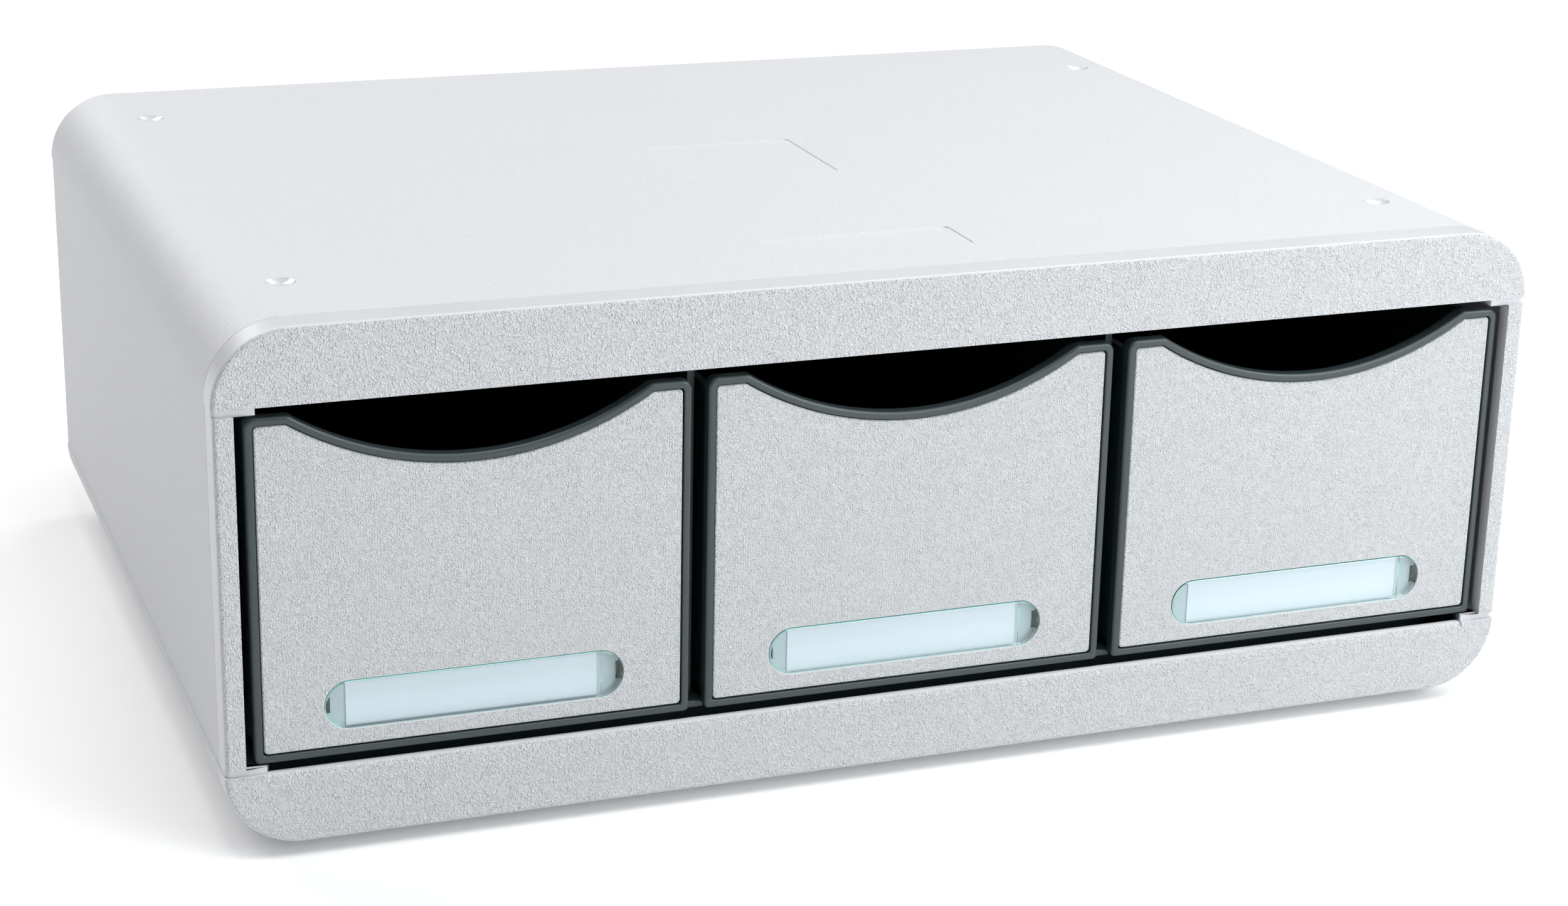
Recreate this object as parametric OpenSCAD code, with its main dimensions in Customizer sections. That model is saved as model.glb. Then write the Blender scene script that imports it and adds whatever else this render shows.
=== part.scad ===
// Desktop drawer module: a rounded plastic casing with three drawers side by side.
// The front faces -Y, +X is to the right and +Z is up. The origin is on the desk,
// under the middle of the casing.

/* [Casing] */
// Overall width of the casing
case_w = 355; // [350:1:380]
// Overall depth of the casing
case_d = 270; // [260:1:300]
// Height of the casing without its feet
case_h = 131; // [128:1:140]
// Height of each of the two shells, which is also the radius of their long corners
shell_h = 19; // [18:0.5:20]
// Rounding of the front and rear edges
edge_r = 1.2; // [1:0.1:2.4]
// Wall thickness of the shells and of the side and rear panels
wall_t = 2.4; // [2.4:0.1:2.8]

/* [Side panels] */
// How far the rails along a side panel reach in from its outer face
rail_reach = 10.4; // [9.5:0.1:10.4]
// Thickness of the rails and of the chassis floor
rail_t = 1.9; // [1.6:0.1:2]
// Distance from the casing's front to the front ends of the rails
rail_setback = 0.9; // [0.5:0.1:2]
// Width of the upright strip that a side panel shows at the front
strip_w = 5.2; // [4.5:0.1:5.2]
// Depth of that strip
strip_d = 4; // [3:0.5:6]

/* [Feet and stacking] */
// Height of the feet below the casing
foot_h = 4; // [3:0.5:6]
// Diameter of a foot where it meets the casing
foot_d = 12; // [10:0.5:14]
// Distance of the feet and of the stacking recesses from the sides
foot_inset_x = 24.9; // [22:0.1:30]
// Distance of the feet and of the stacking recesses from the front and the rear
foot_inset_y = 39.5; // [30:0.5:60]
// Diameter of a stacking recess at the top face
recess_d = 7.6; // [6:0.1:9]
// Depth of a stacking recess
recess_depth = 1.3; // [0.8:0.1:1.6]

/* [Drawers] */
// Distance between the middles of neighbouring drawers
drawer_pitch = 114.6; // [114:0.1:114.8]
// Width of a drawer's front rim
rim_w = 110.4; // [108:0.1:110.6]
// Height of a drawer's front rim
rim_h = 87.9; // [84:0.1:88.3]
// Distance from the casing's front to the rim
rim_setback = 1.4; // [1:0.1:1.6]
// Depth of that rim
rim_depth = 3; // [2.8:0.1:3.4]
// Length of a drawer from its rim to its rear wall
drawer_len = 260.6; // [240:0.2:261]
// How far a drawer pulls out before its ears meet the stops
travel = 195; // [120:1:200]
// Wall thickness of the tray
tray_t = 1.8; // [1.4:0.1:2.2]
// Depth of the finger scoop at the middle of the rim
scoop_sag = 13.4; // [10:0.1:16]
// Radius of the finger scoop at the rim
scoop_r = 81; // [70:1:100]

/* [Front plates and labels] */
// Width of the rim that shows round a front plate
rim_band = 2; // [1.6:0.1:2.4]
// Gap round a front plate
groove = 0.3; // [0.2:0.05:0.5]
// Thickness of a front plate
plate_t = 2.3; // [2:0.1:2.4]
// Length of the label opening
label_l = 76; // [60:1:84]
// Height of the label opening
label_h = 12.8; // [10:0.2:16]
// Height of the label's middle above the lower edge of the rim
label_rise = 12.9; // [12:0.1:20]
// Visible length of the label card
card_l = 64.8; // [50:0.2:70]

/* [Hidden] */
$fn = 96;

casing_grey = "#C9CBCE";
chassis_grey = "#3E474A";
window_tint = [0.70, 0.86, 0.83, 0.5];
card_white = "#E4EEF6";
foot_grey = "#8A8D90";

gap = 0.1;              // between pieces that are fixed to each other
slide_gap = 0.3;        // between a drawer and what it slides on
cut = 1;                // how far a cutting solid runs past a face
sink = 0.5;             // how far a rib or boss runs into the wall that it stands on

// The shells meet the panels at two level seams.
front_y = -case_d / 2;
rear_y = case_d / 2;
low_seam = foot_h + shell_h;
high_seam = foot_h + case_h - shell_h;
case_top = foot_h + case_h;
inner_front_y = front_y + wall_t;
inner_rear_y = rear_y - wall_t;

// Pegs on the rails, dividers and floor stand in bosses of the shells.
peg_d = 4;
peg_h = 5;
boss_d = 8;
bore_clearance = 0.1;
boss_bore_d = peg_d + 2 * bore_clearance;
boss_bore_h = 6;
rail_boss_h = 6.5;
rail_peg_x = case_w / 2 - 6.1;
peg_y = 95;
floor_peg_y = 65;

// The bottom shell's front lip is rounded between the rails.
lip_r = 1.9;
lip_w = case_w - 2 * rail_reach;

// Stiffening ribs inside the shells
rib_t = 1.6;
rib_h = 8;
rib_end_clear = 25;
rib_y = [-65, 0, 65];

// The dividers stand halfway between the drawers.
divider_x = drawer_pitch / 2;
divider_t = 1.8;
divider_flange_w = 8.8;
tab_l = 12;
tab_y = [-95, 0, 95];
chassis_front_y = front_y + 9.2;
chassis_rear_y = inner_rear_y - 1.8;

// The chassis floor's corners fill notches behind the front ends of the lower rails.
notch_y = front_y + rail_setback + 1;
notch_l = 18;

// Its apron hangs behind the bottom shell's lip.
apron_y = chassis_front_y + 4;
apron_t = 1.6;
apron_h = 13;
apron_inset = 3;

// The rear panel's tongues hook behind the walls of both shells.
tongue_t = 1.6;
tongue_reach = 3.5;

// Places along a drawer
rim_z0 = low_seam + rail_t + slide_gap;
rim_z1 = rim_z0 + rim_h;
rim_y = front_y + rim_setback;
rim_back_y = rim_y + rim_depth;
seat_y = rim_y + 2.6;       // face of the tray's front wall that carries the plate
front_wall_y = seat_y + 3;  // inner face of that wall
tray_rear_y = rim_y + drawer_len;
rim_r_top = 2.5;            // at the ears, both outside and beside the scoop
rim_r_low = 1.2;
least_corner_r = 1;
scoop_z = rim_z1 - scoop_sag + scoop_r;

// The drawer's rear wall comes to rest against these upstands when it is shut.
back_stop_w = 60;
back_stop_t = 2;
back_stop_h = 4;

// Section of the tray behind its front
skid_h = 0.6;
skid_w = 3;
skid_x = 46;
tray_w = rim_w - 2;
tray_z0 = rim_z0 + skid_h;
tray_z1 = rim_z1 - 3.6;
tray_r = 2.5;
tray_rear_drop = 4;

// The drawer's ears meet these lugs when it is fully out.
ear_l = 7;
ear_z1 = high_seam - rail_t - 0.8;
lug_l = 3;
lug_drop = 3.2;
lug_y = tray_rear_y - ear_l - travel - slide_gap - lug_l;
guide_t = 1.2;
guide_h = 2;
guide_x = tray_w / 2 + 0.6;
guide_front_y = front_y + 20;
guide_rear_y = 120;

// The label opening is a pocket with a thin floor.
label_z = rim_z0 + label_rise;
plate_y = seat_y - plate_t;
tub_wall = 1.2;
tub_floor = 1;
tub_back_y = seat_y + 1.9;
pocket_y = tub_back_y - tub_floor;
tub_clearance = 0.2;
window_clearance = 0.2;
window_proud = 0.2;
card_t = 0.3;
card_room = 0.4;
card_clearance = 0.1;
card_edge = 0.4;
hook_w = 1;
hook_h = 4.4;
hook_l = 0.8;
hook_x = label_l / 2 - 1.1;
hook_clearance = 0.2;

// Foot and its press-in peg
foot_tip_r = 3.4;
foot_edge_r = 1;
foot_rim_h = 1.8;
foot_peg_d = 4.9;
foot_peg_h = 6;
foot_bore_d = 5;
foot_boss_d = 9;
foot_boss_h = 7;
foot_x = case_w / 2 - foot_inset_x;
foot_y = case_d / 2 - foot_inset_y;

// The two shallow plaques moulded into the top
plaque_depth = 0.3;
plaque_r = 1.5;
rear_plaque = [43.6, 42.4, front_y + 133.8];
front_plaque = [52.8, 18.2, front_y + 36.8];

// ---------- outlines ----------

// A rectangle with four rounded corners, centred on the origin
module rounded_rect(w, h, r) {
    square([w - 2 * r, h], center = true);
    square([w, h - 2 * r], center = true);
    for (x = [-1, 1], y = [-1, 1])
        translate([x * (w / 2 - r), y * (h / 2 - r)]) circle(r);
}

// A slot with round ends, centred on the origin
module stadium(l, h) {
    square([l - h, h], center = true);
    for (x = [-1, 1]) translate([x * (l - h) / 2, 0]) circle(d = h);
}

// Outline of a drawer's front, drawn in by inset all round
module front_outline(inset) {
    w = rim_w - 2 * inset;
    low = rim_z0 + inset;
    high = rim_z1 - inset;
    r_low = max(rim_r_low - inset, least_corner_r);
    r_top = max(rim_r_top - inset, least_corner_r);
    r_scoop = scoop_r + inset;
    // A round of radius r_top, centred here, joins the scoop to the top edge.
    round_z = high - r_top;
    round_x = sqrt(pow(r_scoop + r_top, 2) - pow(scoop_z - round_z, 2));
    share = r_scoop / (r_scoop + r_top);
    corner_x = sqrt(pow(r_scoop, 2) - pow(scoop_z - high, 2));
    difference() {
        union() {
            for (side = [-1, 1]) {
                translate([side * (w / 2 - r_low), low + r_low]) circle(r_low);
                translate([side * (w / 2 - r_top), high - r_top]) circle(r_top);
            }
            translate([-w / 2 + r_low, low]) square([w - 2 * r_low, high - low - r_top]);
            translate([-w / 2 + r_top, high - 2 * r_top]) square([w - 2 * r_top, 2 * r_top]);
            translate([-w / 2, low + r_low]) square([w, high - low - r_low - r_top]);
        }
        translate([0, scoop_z]) circle(r_scoop, $fn = 360);
        for (side = [-1, 1])
            polygon([
                [side * round_x, round_z],
                [side * round_x, high + cut],
                [side * corner_x, high + cut],
                [side * round_x * share, scoop_z + (round_z - scoop_z) * share]
            ]);
    }
    for (side = [-1, 1]) translate([side * round_x, round_z]) circle(r_top);
}

// A U-shaped section's outer or inner outline with rounded lower corners
module trough(w, low, high, r) {
    translate([-w / 2, low + r]) square([w, high - low - r]);
    translate([-w / 2 + r, low]) square([w - 2 * r, 2 * r]);
    for (side = [-1, 1]) translate([side * (w / 2 - r), low + r]) circle(r);
}

// An outline in X and Z made into a solid from y0 back to y1
module slab(y0, y1) {
    translate([0, y1, 0]) rotate([90, 0, 0]) linear_extrude(y1 - y0) children();
}

// ---------- casing ----------

// Half section of a shell: reach along +X, length along Y, outer edges rounded
module shell_section(length, reach, r) {
    translate([0, -length / 2 + r]) square([reach, length - 2 * r]);
    if (r > 0) {
        translate([0, -length / 2]) square([reach - r, length]);
        for (end = [-1, 1]) translate([reach - r, end * (length / 2 - r)]) circle(r);
    }
}

// A block standing on z = 0 whose two upper long corners are full quarter rounds
module shell_block(w, d, h, r) {
    rotate([0, -90, 0]) linear_extrude(w - 2 * h, center = true) shell_section(d, h, r);
    for (side = [0, 1]) mirror([side, 0, 0])
        translate([w / 2 - h, 0, 0]) rotate([90, 0, 0])
            rotate_extrude(angle = 90) shell_section(d, h, r);
}

// The shell's wall on its own, open at z = 0
module shell_wall() {
    difference() {
        shell_block(case_w, case_d, shell_h, edge_r);
        shell_block(case_w - 2 * wall_t, case_d - 2 * wall_t, shell_h - wall_t, 0);
        translate([0, 0, -cut / 2])
            cube([case_w - 2 * wall_t, case_d - 2 * wall_t, cut], center = true);
    }
}

// Ribs that hang from the shell's ceiling down to the given level
module shell_ribs(level) {
    height = shell_h - wall_t + sink - level;
    length = case_d - 2 * rib_end_clear;
    for (i = [-2 : 2])
        translate([i * divider_x - rib_t / 2, -length / 2, level]) cube([rib_t, length, height]);
    for (y = rib_y)
        translate([-2 * divider_x, y - rib_t / 2, level]) cube([4 * divider_x, rib_t, height]);
}

// Bosses for the pegs of both side panels, and for those at inner_x and inner_y
module shell_bosses(inner_y) {
    for (x = [-1, 1], y = [-1, 1]) {
        translate([x * rail_peg_x, y * peg_y, 0]) cylinder(d = boss_d, h = rail_boss_h);
        translate([x * divider_x, y * inner_y, 0])
            cylinder(d = boss_d, h = shell_h - wall_t + sink);
    }
}

module shell_bores(inner_y) {
    for (x = [-1, 1], y = [-1, 1]) {
        translate([x * rail_peg_x, y * peg_y, -cut])
            cylinder(d = boss_bore_d, h = rail_boss_h + cut + gap);
        translate([x * divider_x, y * inner_y, -cut])
            cylinder(d = boss_bore_d, h = boss_bore_h + cut);
    }
}

// A shallow rectangle sunk into the top face; size holds its width, depth and middle
module plaque(size) {
    translate([0, size[2], shell_h - plaque_depth])
        linear_extrude(plaque_depth + cut) rounded_rect(size[0], size[1], plaque_r);
}

module top_shell() {
    recess_r = (pow(recess_d / 2, 2) + pow(recess_depth, 2)) / (2 * recess_depth);
    color(casing_grey) translate([0, 0, high_seam]) difference() {
        union() {
            shell_wall();
            shell_ribs(shell_h - wall_t - rib_h);
            shell_bosses(peg_y);
        }
        shell_bores(peg_y);
        plaque(rear_plaque);
        plaque(front_plaque);
        for (x = [-1, 1], y = [-1, 1])
            translate([x * foot_x, y * foot_y, shell_h + recess_r - recess_depth])
                sphere(recess_r);
    }
}

// What the rounding takes off the lip's front edge; the edge lies along X through the origin
module lip_rounding() {
    translate([-lip_w / 2, 0, 0]) rotate([90, 0, 90]) linear_extrude(lip_w) difference() {
        translate([-cut, -cut]) square([lip_r + cut, lip_r + cut]);
        translate([lip_r, lip_r]) circle(lip_r);
    }
}

module bottom_shell() {
    color(casing_grey) translate([0, 0, low_seam]) mirror([0, 0, 1]) difference() {
        union() {
            shell_wall();
            shell_ribs(0);
            shell_bosses(floor_peg_y);
            for (x = [-1, 1], y = [-1, 1])
                translate([x * foot_x, y * foot_y, shell_h - foot_boss_h])
                    cylinder(d = foot_boss_d, h = foot_boss_h - sink);
        }
        shell_bores(floor_peg_y);
        translate([0, front_y, 0]) lip_rounding();
        for (x = [-1, 1], y = [-1, 1])
            translate([x * foot_x, y * foot_y, shell_h - foot_boss_h - cut])
                cylinder(d = foot_bore_d, h = foot_boss_h + 2 * cut);
    }
}

// Plan of a side wall whose front corner stands at y0; the panel's outer face is x = 0
module side_plan(y0, return_w, return_d) {
    translate([0, y0 + edge_r]) square([wall_t, rear_y - y0 - 2 * edge_r]);
    translate([edge_r, y0 + edge_r]) circle(edge_r);
    translate([edge_r, rear_y - edge_r]) circle(edge_r);
    translate([edge_r, y0]) square([return_w - edge_r, return_d]);
    translate([edge_r, inner_rear_y]) square([strip_w - edge_r, wall_t]);
}

// A rail with the part of the side wall above or below it
module side_rail() {
    linear_extrude(rail_t) {
        side_plan(front_y + rail_setback, rail_reach, strip_d);
        translate([wall_t / 2, front_y + rail_setback + edge_r])
            square([rail_reach - wall_t / 2, chassis_rear_y - front_y - rail_setback - edge_r]);
    }
}

module rail_pegs(z) {
    for (y = [-1, 1])
        translate([case_w / 2 - rail_peg_x, y * peg_y, z]) cylinder(d = peg_d, h = peg_h + sink);
}

// The left-hand panel with its outer face on x = 0
module side_panel_shape() {
    difference() {
        translate([0, 0, low_seam]) side_rail();
        translate([strip_w, notch_y, low_seam - cut])
            cube([rail_reach, notch_l, rail_t + 2 * cut]);
    }
    translate([0, 0, high_seam - rail_t]) side_rail();
    translate([0, 0, low_seam + rail_t / 2])
        linear_extrude(high_seam - low_seam - rail_t) side_plan(front_y, strip_w, strip_d);
    rail_pegs(high_seam - sink);
    rail_pegs(low_seam - peg_h);
    translate([wall_t / 2, lug_y, high_seam - rail_t - lug_drop])
        cube([rail_reach - wall_t / 2, lug_l, lug_drop + sink]);
    translate([case_w / 2 - drawer_pitch - guide_x - guide_t, guide_front_y, low_seam + sink])
        cube([guide_t, guide_rear_y - guide_front_y, rail_t - sink + guide_h]);
}

module left_side_panel() {
    color(casing_grey) translate([-case_w / 2, 0, 0]) side_panel_shape();
}

module right_side_panel() {
    color(casing_grey) mirror([1, 0, 0]) translate([-case_w / 2, 0, 0]) side_panel_shape();
}

module rear_panel() {
    w = case_w - 2 * strip_w - 2 * gap;
    tongue_w = case_w - 2 * rail_reach - 2 * gap;
    color(casing_grey) {
        translate([-w / 2, inner_rear_y, low_seam]) cube([w, wall_t, high_seam - low_seam]);
        for (z = [low_seam - tongue_reach, high_seam - tongue_reach])
            translate([-tongue_w / 2, inner_rear_y - gap - tongue_t, z])
                cube([tongue_w, tongue_t, 2 * tongue_reach]);
        for (z = [low_seam + gap, high_seam - tongue_reach])
            translate([-tongue_w / 2, inner_rear_y - gap - sink, z])
                cube([tongue_w, gap + 2 * sink, tongue_reach - gap]);
    }
}

module foot(x, y) {
    color(foot_grey) translate([x * foot_x, y * foot_y, 0]) {
        rotate_extrude() {
            translate([foot_tip_r - foot_edge_r, foot_edge_r]) circle(foot_edge_r);
            polygon([
                [0, 0], [foot_tip_r - foot_edge_r, 0], [foot_tip_r, foot_edge_r],
                [foot_d / 2, foot_h - foot_rim_h], [foot_d / 2, foot_h], [0, foot_h]
            ]);
        }
        translate([0, 0, foot_h - sink]) cylinder(d = foot_peg_d, h = foot_peg_h + sink);
    }
}

// ---------- chassis ----------

module chassis_floor() {
    w = case_w - 2 * rail_reach - 2 * gap;
    corner_w = rail_reach - strip_w + sink;
    color(chassis_grey) difference() {
        union() {
            translate([-w / 2, chassis_front_y, low_seam])
                cube([w, chassis_rear_y - chassis_front_y, rail_t]);
            for (side = [-1, 1])
                translate([side * (w / 2 + corner_w / 2 - sink) - corner_w / 2,
                        notch_y + gap, low_seam])
                    cube([corner_w, notch_l - 2 * gap, rail_t]);
            translate([-w / 2 + apron_inset, apron_y, low_seam - apron_h])
                cube([w - 2 * apron_inset, apron_t, apron_h + sink]);
            for (x = [-1, 1], side = [-1, 1])
                translate([x * divider_x + side * (drawer_pitch / 2 - guide_x - guide_t / 2)
                        - guide_t / 2, guide_front_y, low_seam + sink])
                    cube([guide_t, guide_rear_y - guide_front_y, rail_t - sink + guide_h]);
            for (i = [-1 : 1])
                translate([i * drawer_pitch - back_stop_w / 2, tray_rear_y + slide_gap,
                        low_seam + sink])
                    cube([back_stop_w, back_stop_t, rail_t - sink + back_stop_h]);
            for (x = [-1, 1], y = [-1, 1])
                translate([x * divider_x, y * floor_peg_y, low_seam - peg_h])
                    cylinder(d = peg_d, h = peg_h + sink);
        }
        for (x = [-1, 1], y = tab_y)
            translate([x * divider_x, y, low_seam + rail_t / 2])
                cube([divider_t + 2 * gap, tab_l + 2 * gap, rail_t + 2 * cut], center = true);
    }
}

// An upright wall with a flange along its top, which keeps the drawers level
module divider(side) {
    length = chassis_rear_y - chassis_front_y;
    color(chassis_grey) translate([side * divider_x, 0, 0]) {
        translate([-divider_t / 2, chassis_front_y, low_seam + rail_t])
            cube([divider_t, length, high_seam - low_seam - rail_t]);
        translate([-divider_flange_w / 2, chassis_front_y, high_seam - rail_t])
            cube([divider_flange_w, length, rail_t]);
        translate([-divider_flange_w / 2, lug_y, high_seam - rail_t - lug_drop])
            cube([divider_flange_w, lug_l, lug_drop + sink]);
        for (y = tab_y)
            translate([-divider_t / 2, y - tab_l / 2, low_seam])
                cube([divider_t, tab_l, rail_t + sink]);
        for (y = [-1, 1])
            translate([0, y * peg_y, high_seam - sink]) cylinder(d = peg_d, h = peg_h + sink);
    }
}

// ---------- drawers ----------

// The tray: rim with its scoop, front wall, trough, rear wall, ears and skids
module drawer_tray(i) {
    inner_w = tray_w - 2 * tray_t;
    color(chassis_grey) translate([i * drawer_pitch, 0, 0]) {
        difference() {
            union() {
                slab(rim_y, rim_back_y) front_outline(0);
                slab(seat_y, front_wall_y) front_outline((rim_w - tray_w) / 2);
            }
            slab(rim_y - cut, seat_y) front_outline(rim_band);
            translate([0, 0, label_z]) slab(seat_y - cut, tub_back_y + gap)
                stadium(label_l + 2 * (tub_wall + tub_clearance),
                        label_h + 2 * (tub_wall + tub_clearance));
        }
        difference() {
            slab(front_wall_y - sink, tray_rear_y) trough(tray_w, tray_z0, tray_z1, tray_r);
            slab(front_wall_y - cut, tray_rear_y - tray_t)
                trough(inner_w, tray_z0 + tray_t, tray_z1 + cut, tray_r - tray_t + sink);
            translate([0, tray_rear_y, tray_z1])
                cube([inner_w, 4 * tray_t, 2 * tray_rear_drop], center = true);
        }
        for (side = [-1, 1]) {
            translate([side * (tray_w - tray_t) / 2 - tray_t / 2, tray_rear_y - ear_l,
                    tray_z1 - sink])
                cube([tray_t, ear_l, ear_z1 - tray_z1 + sink]);
            translate([side * skid_x - skid_w / 2, front_wall_y, rim_z0])
                cube([skid_w, tray_rear_y - tray_r - front_wall_y, skid_h + sink]);
        }
    }
}

// The plate that fills the rim, with a shallow pocket for the label
module front_plate(i) {
    color(casing_grey) translate([i * drawer_pitch, 0, 0]) difference() {
        union() {
            slab(plate_y, seat_y) front_outline(rim_band + groove);
            translate([0, 0, label_z]) slab(seat_y - sink, tub_back_y)
                stadium(label_l + 2 * tub_wall, label_h + 2 * tub_wall);
        }
        translate([0, 0, label_z]) slab(plate_y - cut, pocket_y) stadium(label_l, label_h);
        for (side = [-1, 1])
            translate([side * hook_x, pocket_y, label_z])
                cube([hook_w + 2 * hook_clearance, 4 * tub_floor,
                      hook_h + 2 * hook_clearance], center = true);
    }
}

// The clear window: thicker at its ends, with a hook behind each of them
module label_window(i) {
    length = label_l - 2 * window_clearance;
    height = label_h - 2 * window_clearance;
    color(window_tint) translate([i * drawer_pitch, 0, label_z]) {
        difference() {
            slab(plate_y - window_proud, pocket_y - gap) stadium(length, height);
            translate([-card_l / 2 - card_clearance, pocket_y - card_room, -height])
                cube([card_l + 2 * card_clearance, card_room + cut, 2 * height]);
        }
        for (side = [-1, 1])
            translate([side * hook_x - hook_w / 2, pocket_y - gap - sink, -hook_h / 2])
                cube([hook_w, hook_l + gap + sink, hook_h]);
    }
}

module label_card(i) {
    h = label_h - 2 * card_edge;
    color(card_white) translate([i * drawer_pitch, pocket_y - (card_room + card_t) / 2, label_z])
        translate([-card_l / 2, 0, -h / 2]) cube([card_l, card_t, h]);
}

top_shell();
bottom_shell();
left_side_panel();
right_side_panel();
rear_panel();
chassis_floor();
divider(-1);  // left_divider
divider(1);  // right_divider
foot(-1, -1);  // foot_front_left
foot(1, -1);  // foot_front_right
foot(-1, 1);  // foot_rear_left
foot(1, 1);  // foot_rear_right
drawer_tray(-1);  // left_drawer_tray
front_plate(-1);  // left_front_plate
label_window(-1);  // left_label_window
label_card(-1);  // left_label_card
drawer_tray(0);  // middle_drawer_tray
front_plate(0);  // middle_front_plate
label_window(0);  // middle_label_window
label_card(0);  // middle_label_card
drawer_tray(1);  // right_drawer_tray
front_plate(1);  // right_front_plate
label_window(1);  // right_label_window
label_card(1);  // right_label_card
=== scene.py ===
"""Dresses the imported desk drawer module: its moulded shells, drawers and labels, and the studio.

Sizes are in millimetres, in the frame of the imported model. The front faces -Y, +X is to the
right and +Z is up. Meshes are turned into metres when they are built.
"""

import logging
import math
from dataclasses import dataclass, field
from enum import Enum, IntEnum

import bmesh
import bpy
from mathutils import Matrix, Vector

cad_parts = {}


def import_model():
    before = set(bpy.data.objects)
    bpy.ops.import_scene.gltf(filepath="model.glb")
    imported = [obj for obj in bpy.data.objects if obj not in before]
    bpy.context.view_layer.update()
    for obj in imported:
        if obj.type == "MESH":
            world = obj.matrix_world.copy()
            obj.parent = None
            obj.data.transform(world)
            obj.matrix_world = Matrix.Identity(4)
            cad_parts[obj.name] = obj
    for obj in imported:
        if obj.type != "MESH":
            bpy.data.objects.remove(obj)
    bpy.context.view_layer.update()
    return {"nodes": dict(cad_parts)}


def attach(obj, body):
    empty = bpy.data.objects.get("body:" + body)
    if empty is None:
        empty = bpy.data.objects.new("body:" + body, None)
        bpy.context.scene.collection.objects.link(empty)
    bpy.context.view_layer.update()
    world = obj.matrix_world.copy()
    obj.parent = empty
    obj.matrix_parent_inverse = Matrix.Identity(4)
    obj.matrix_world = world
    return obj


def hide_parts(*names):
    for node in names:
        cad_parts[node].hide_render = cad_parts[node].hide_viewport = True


MM = 0.001
WHITE = (1.0, 1.0, 1.0, 1.0)
POLYSTYRENE_IOR = 1.59
WELD_MM = 0.002
SHARP_DEGREES = 35

# The softboxes at the right are a little short of red.
COOL = (0.96, 1.0, 1.0)

# A Mix node's inputs share their names between kinds of value, so its colours go by number.
MIX_FROM, MIX_TO = 6, 7

Outline = list[tuple[float, float]]
Ring = list[bmesh.types.BMVert]
SocketValue = float | tuple[float, ...] | bpy.types.NodeSocket

log = logging.getLogger("scene")


# ---------- colours and finishes ----------


class Colour(Enum):
    """The colours of the object and the floor, as sRGB hex codes, with one painted shade and one
    painted tint among them.
    """

    CASING = "#D0D1D5"
    CHASSIS = "#2D393C"
    WINDOW = "#A6E6E6"
    # Painted tint for the window's turned-away surfaces, standing in for light piped through the
    # plastic.
    WINDOW_EDGE = "#A8FFE8"
    # Near-black painted shade for the front plate's notch walls, which are really the plate's own
    # light plastic.
    GAP = "#0C1011"
    CARD = "#F9F1FA"
    FOOT = "#8A8D90"
    FLOOR = "#FAFAFA"


def linear(colour: Colour) -> tuple[float, float, float, float]:
    """Turns a colour's sRGB hex code into linear red, green, blue and alpha.

    Args:
        colour: The colour to convert.

    Returns:
        The linear channels, with an alpha of 1.
    """
    channels = [int(colour.value[i : i + 2], 16) / 255 for i in (1, 3, 5)]
    red, green, blue = (
        c / 12.92 if c <= 0.04045 else ((c + 0.055) / 1.055) ** 2.4 for c in channels
    )
    return red, green, blue, 1.0


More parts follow.
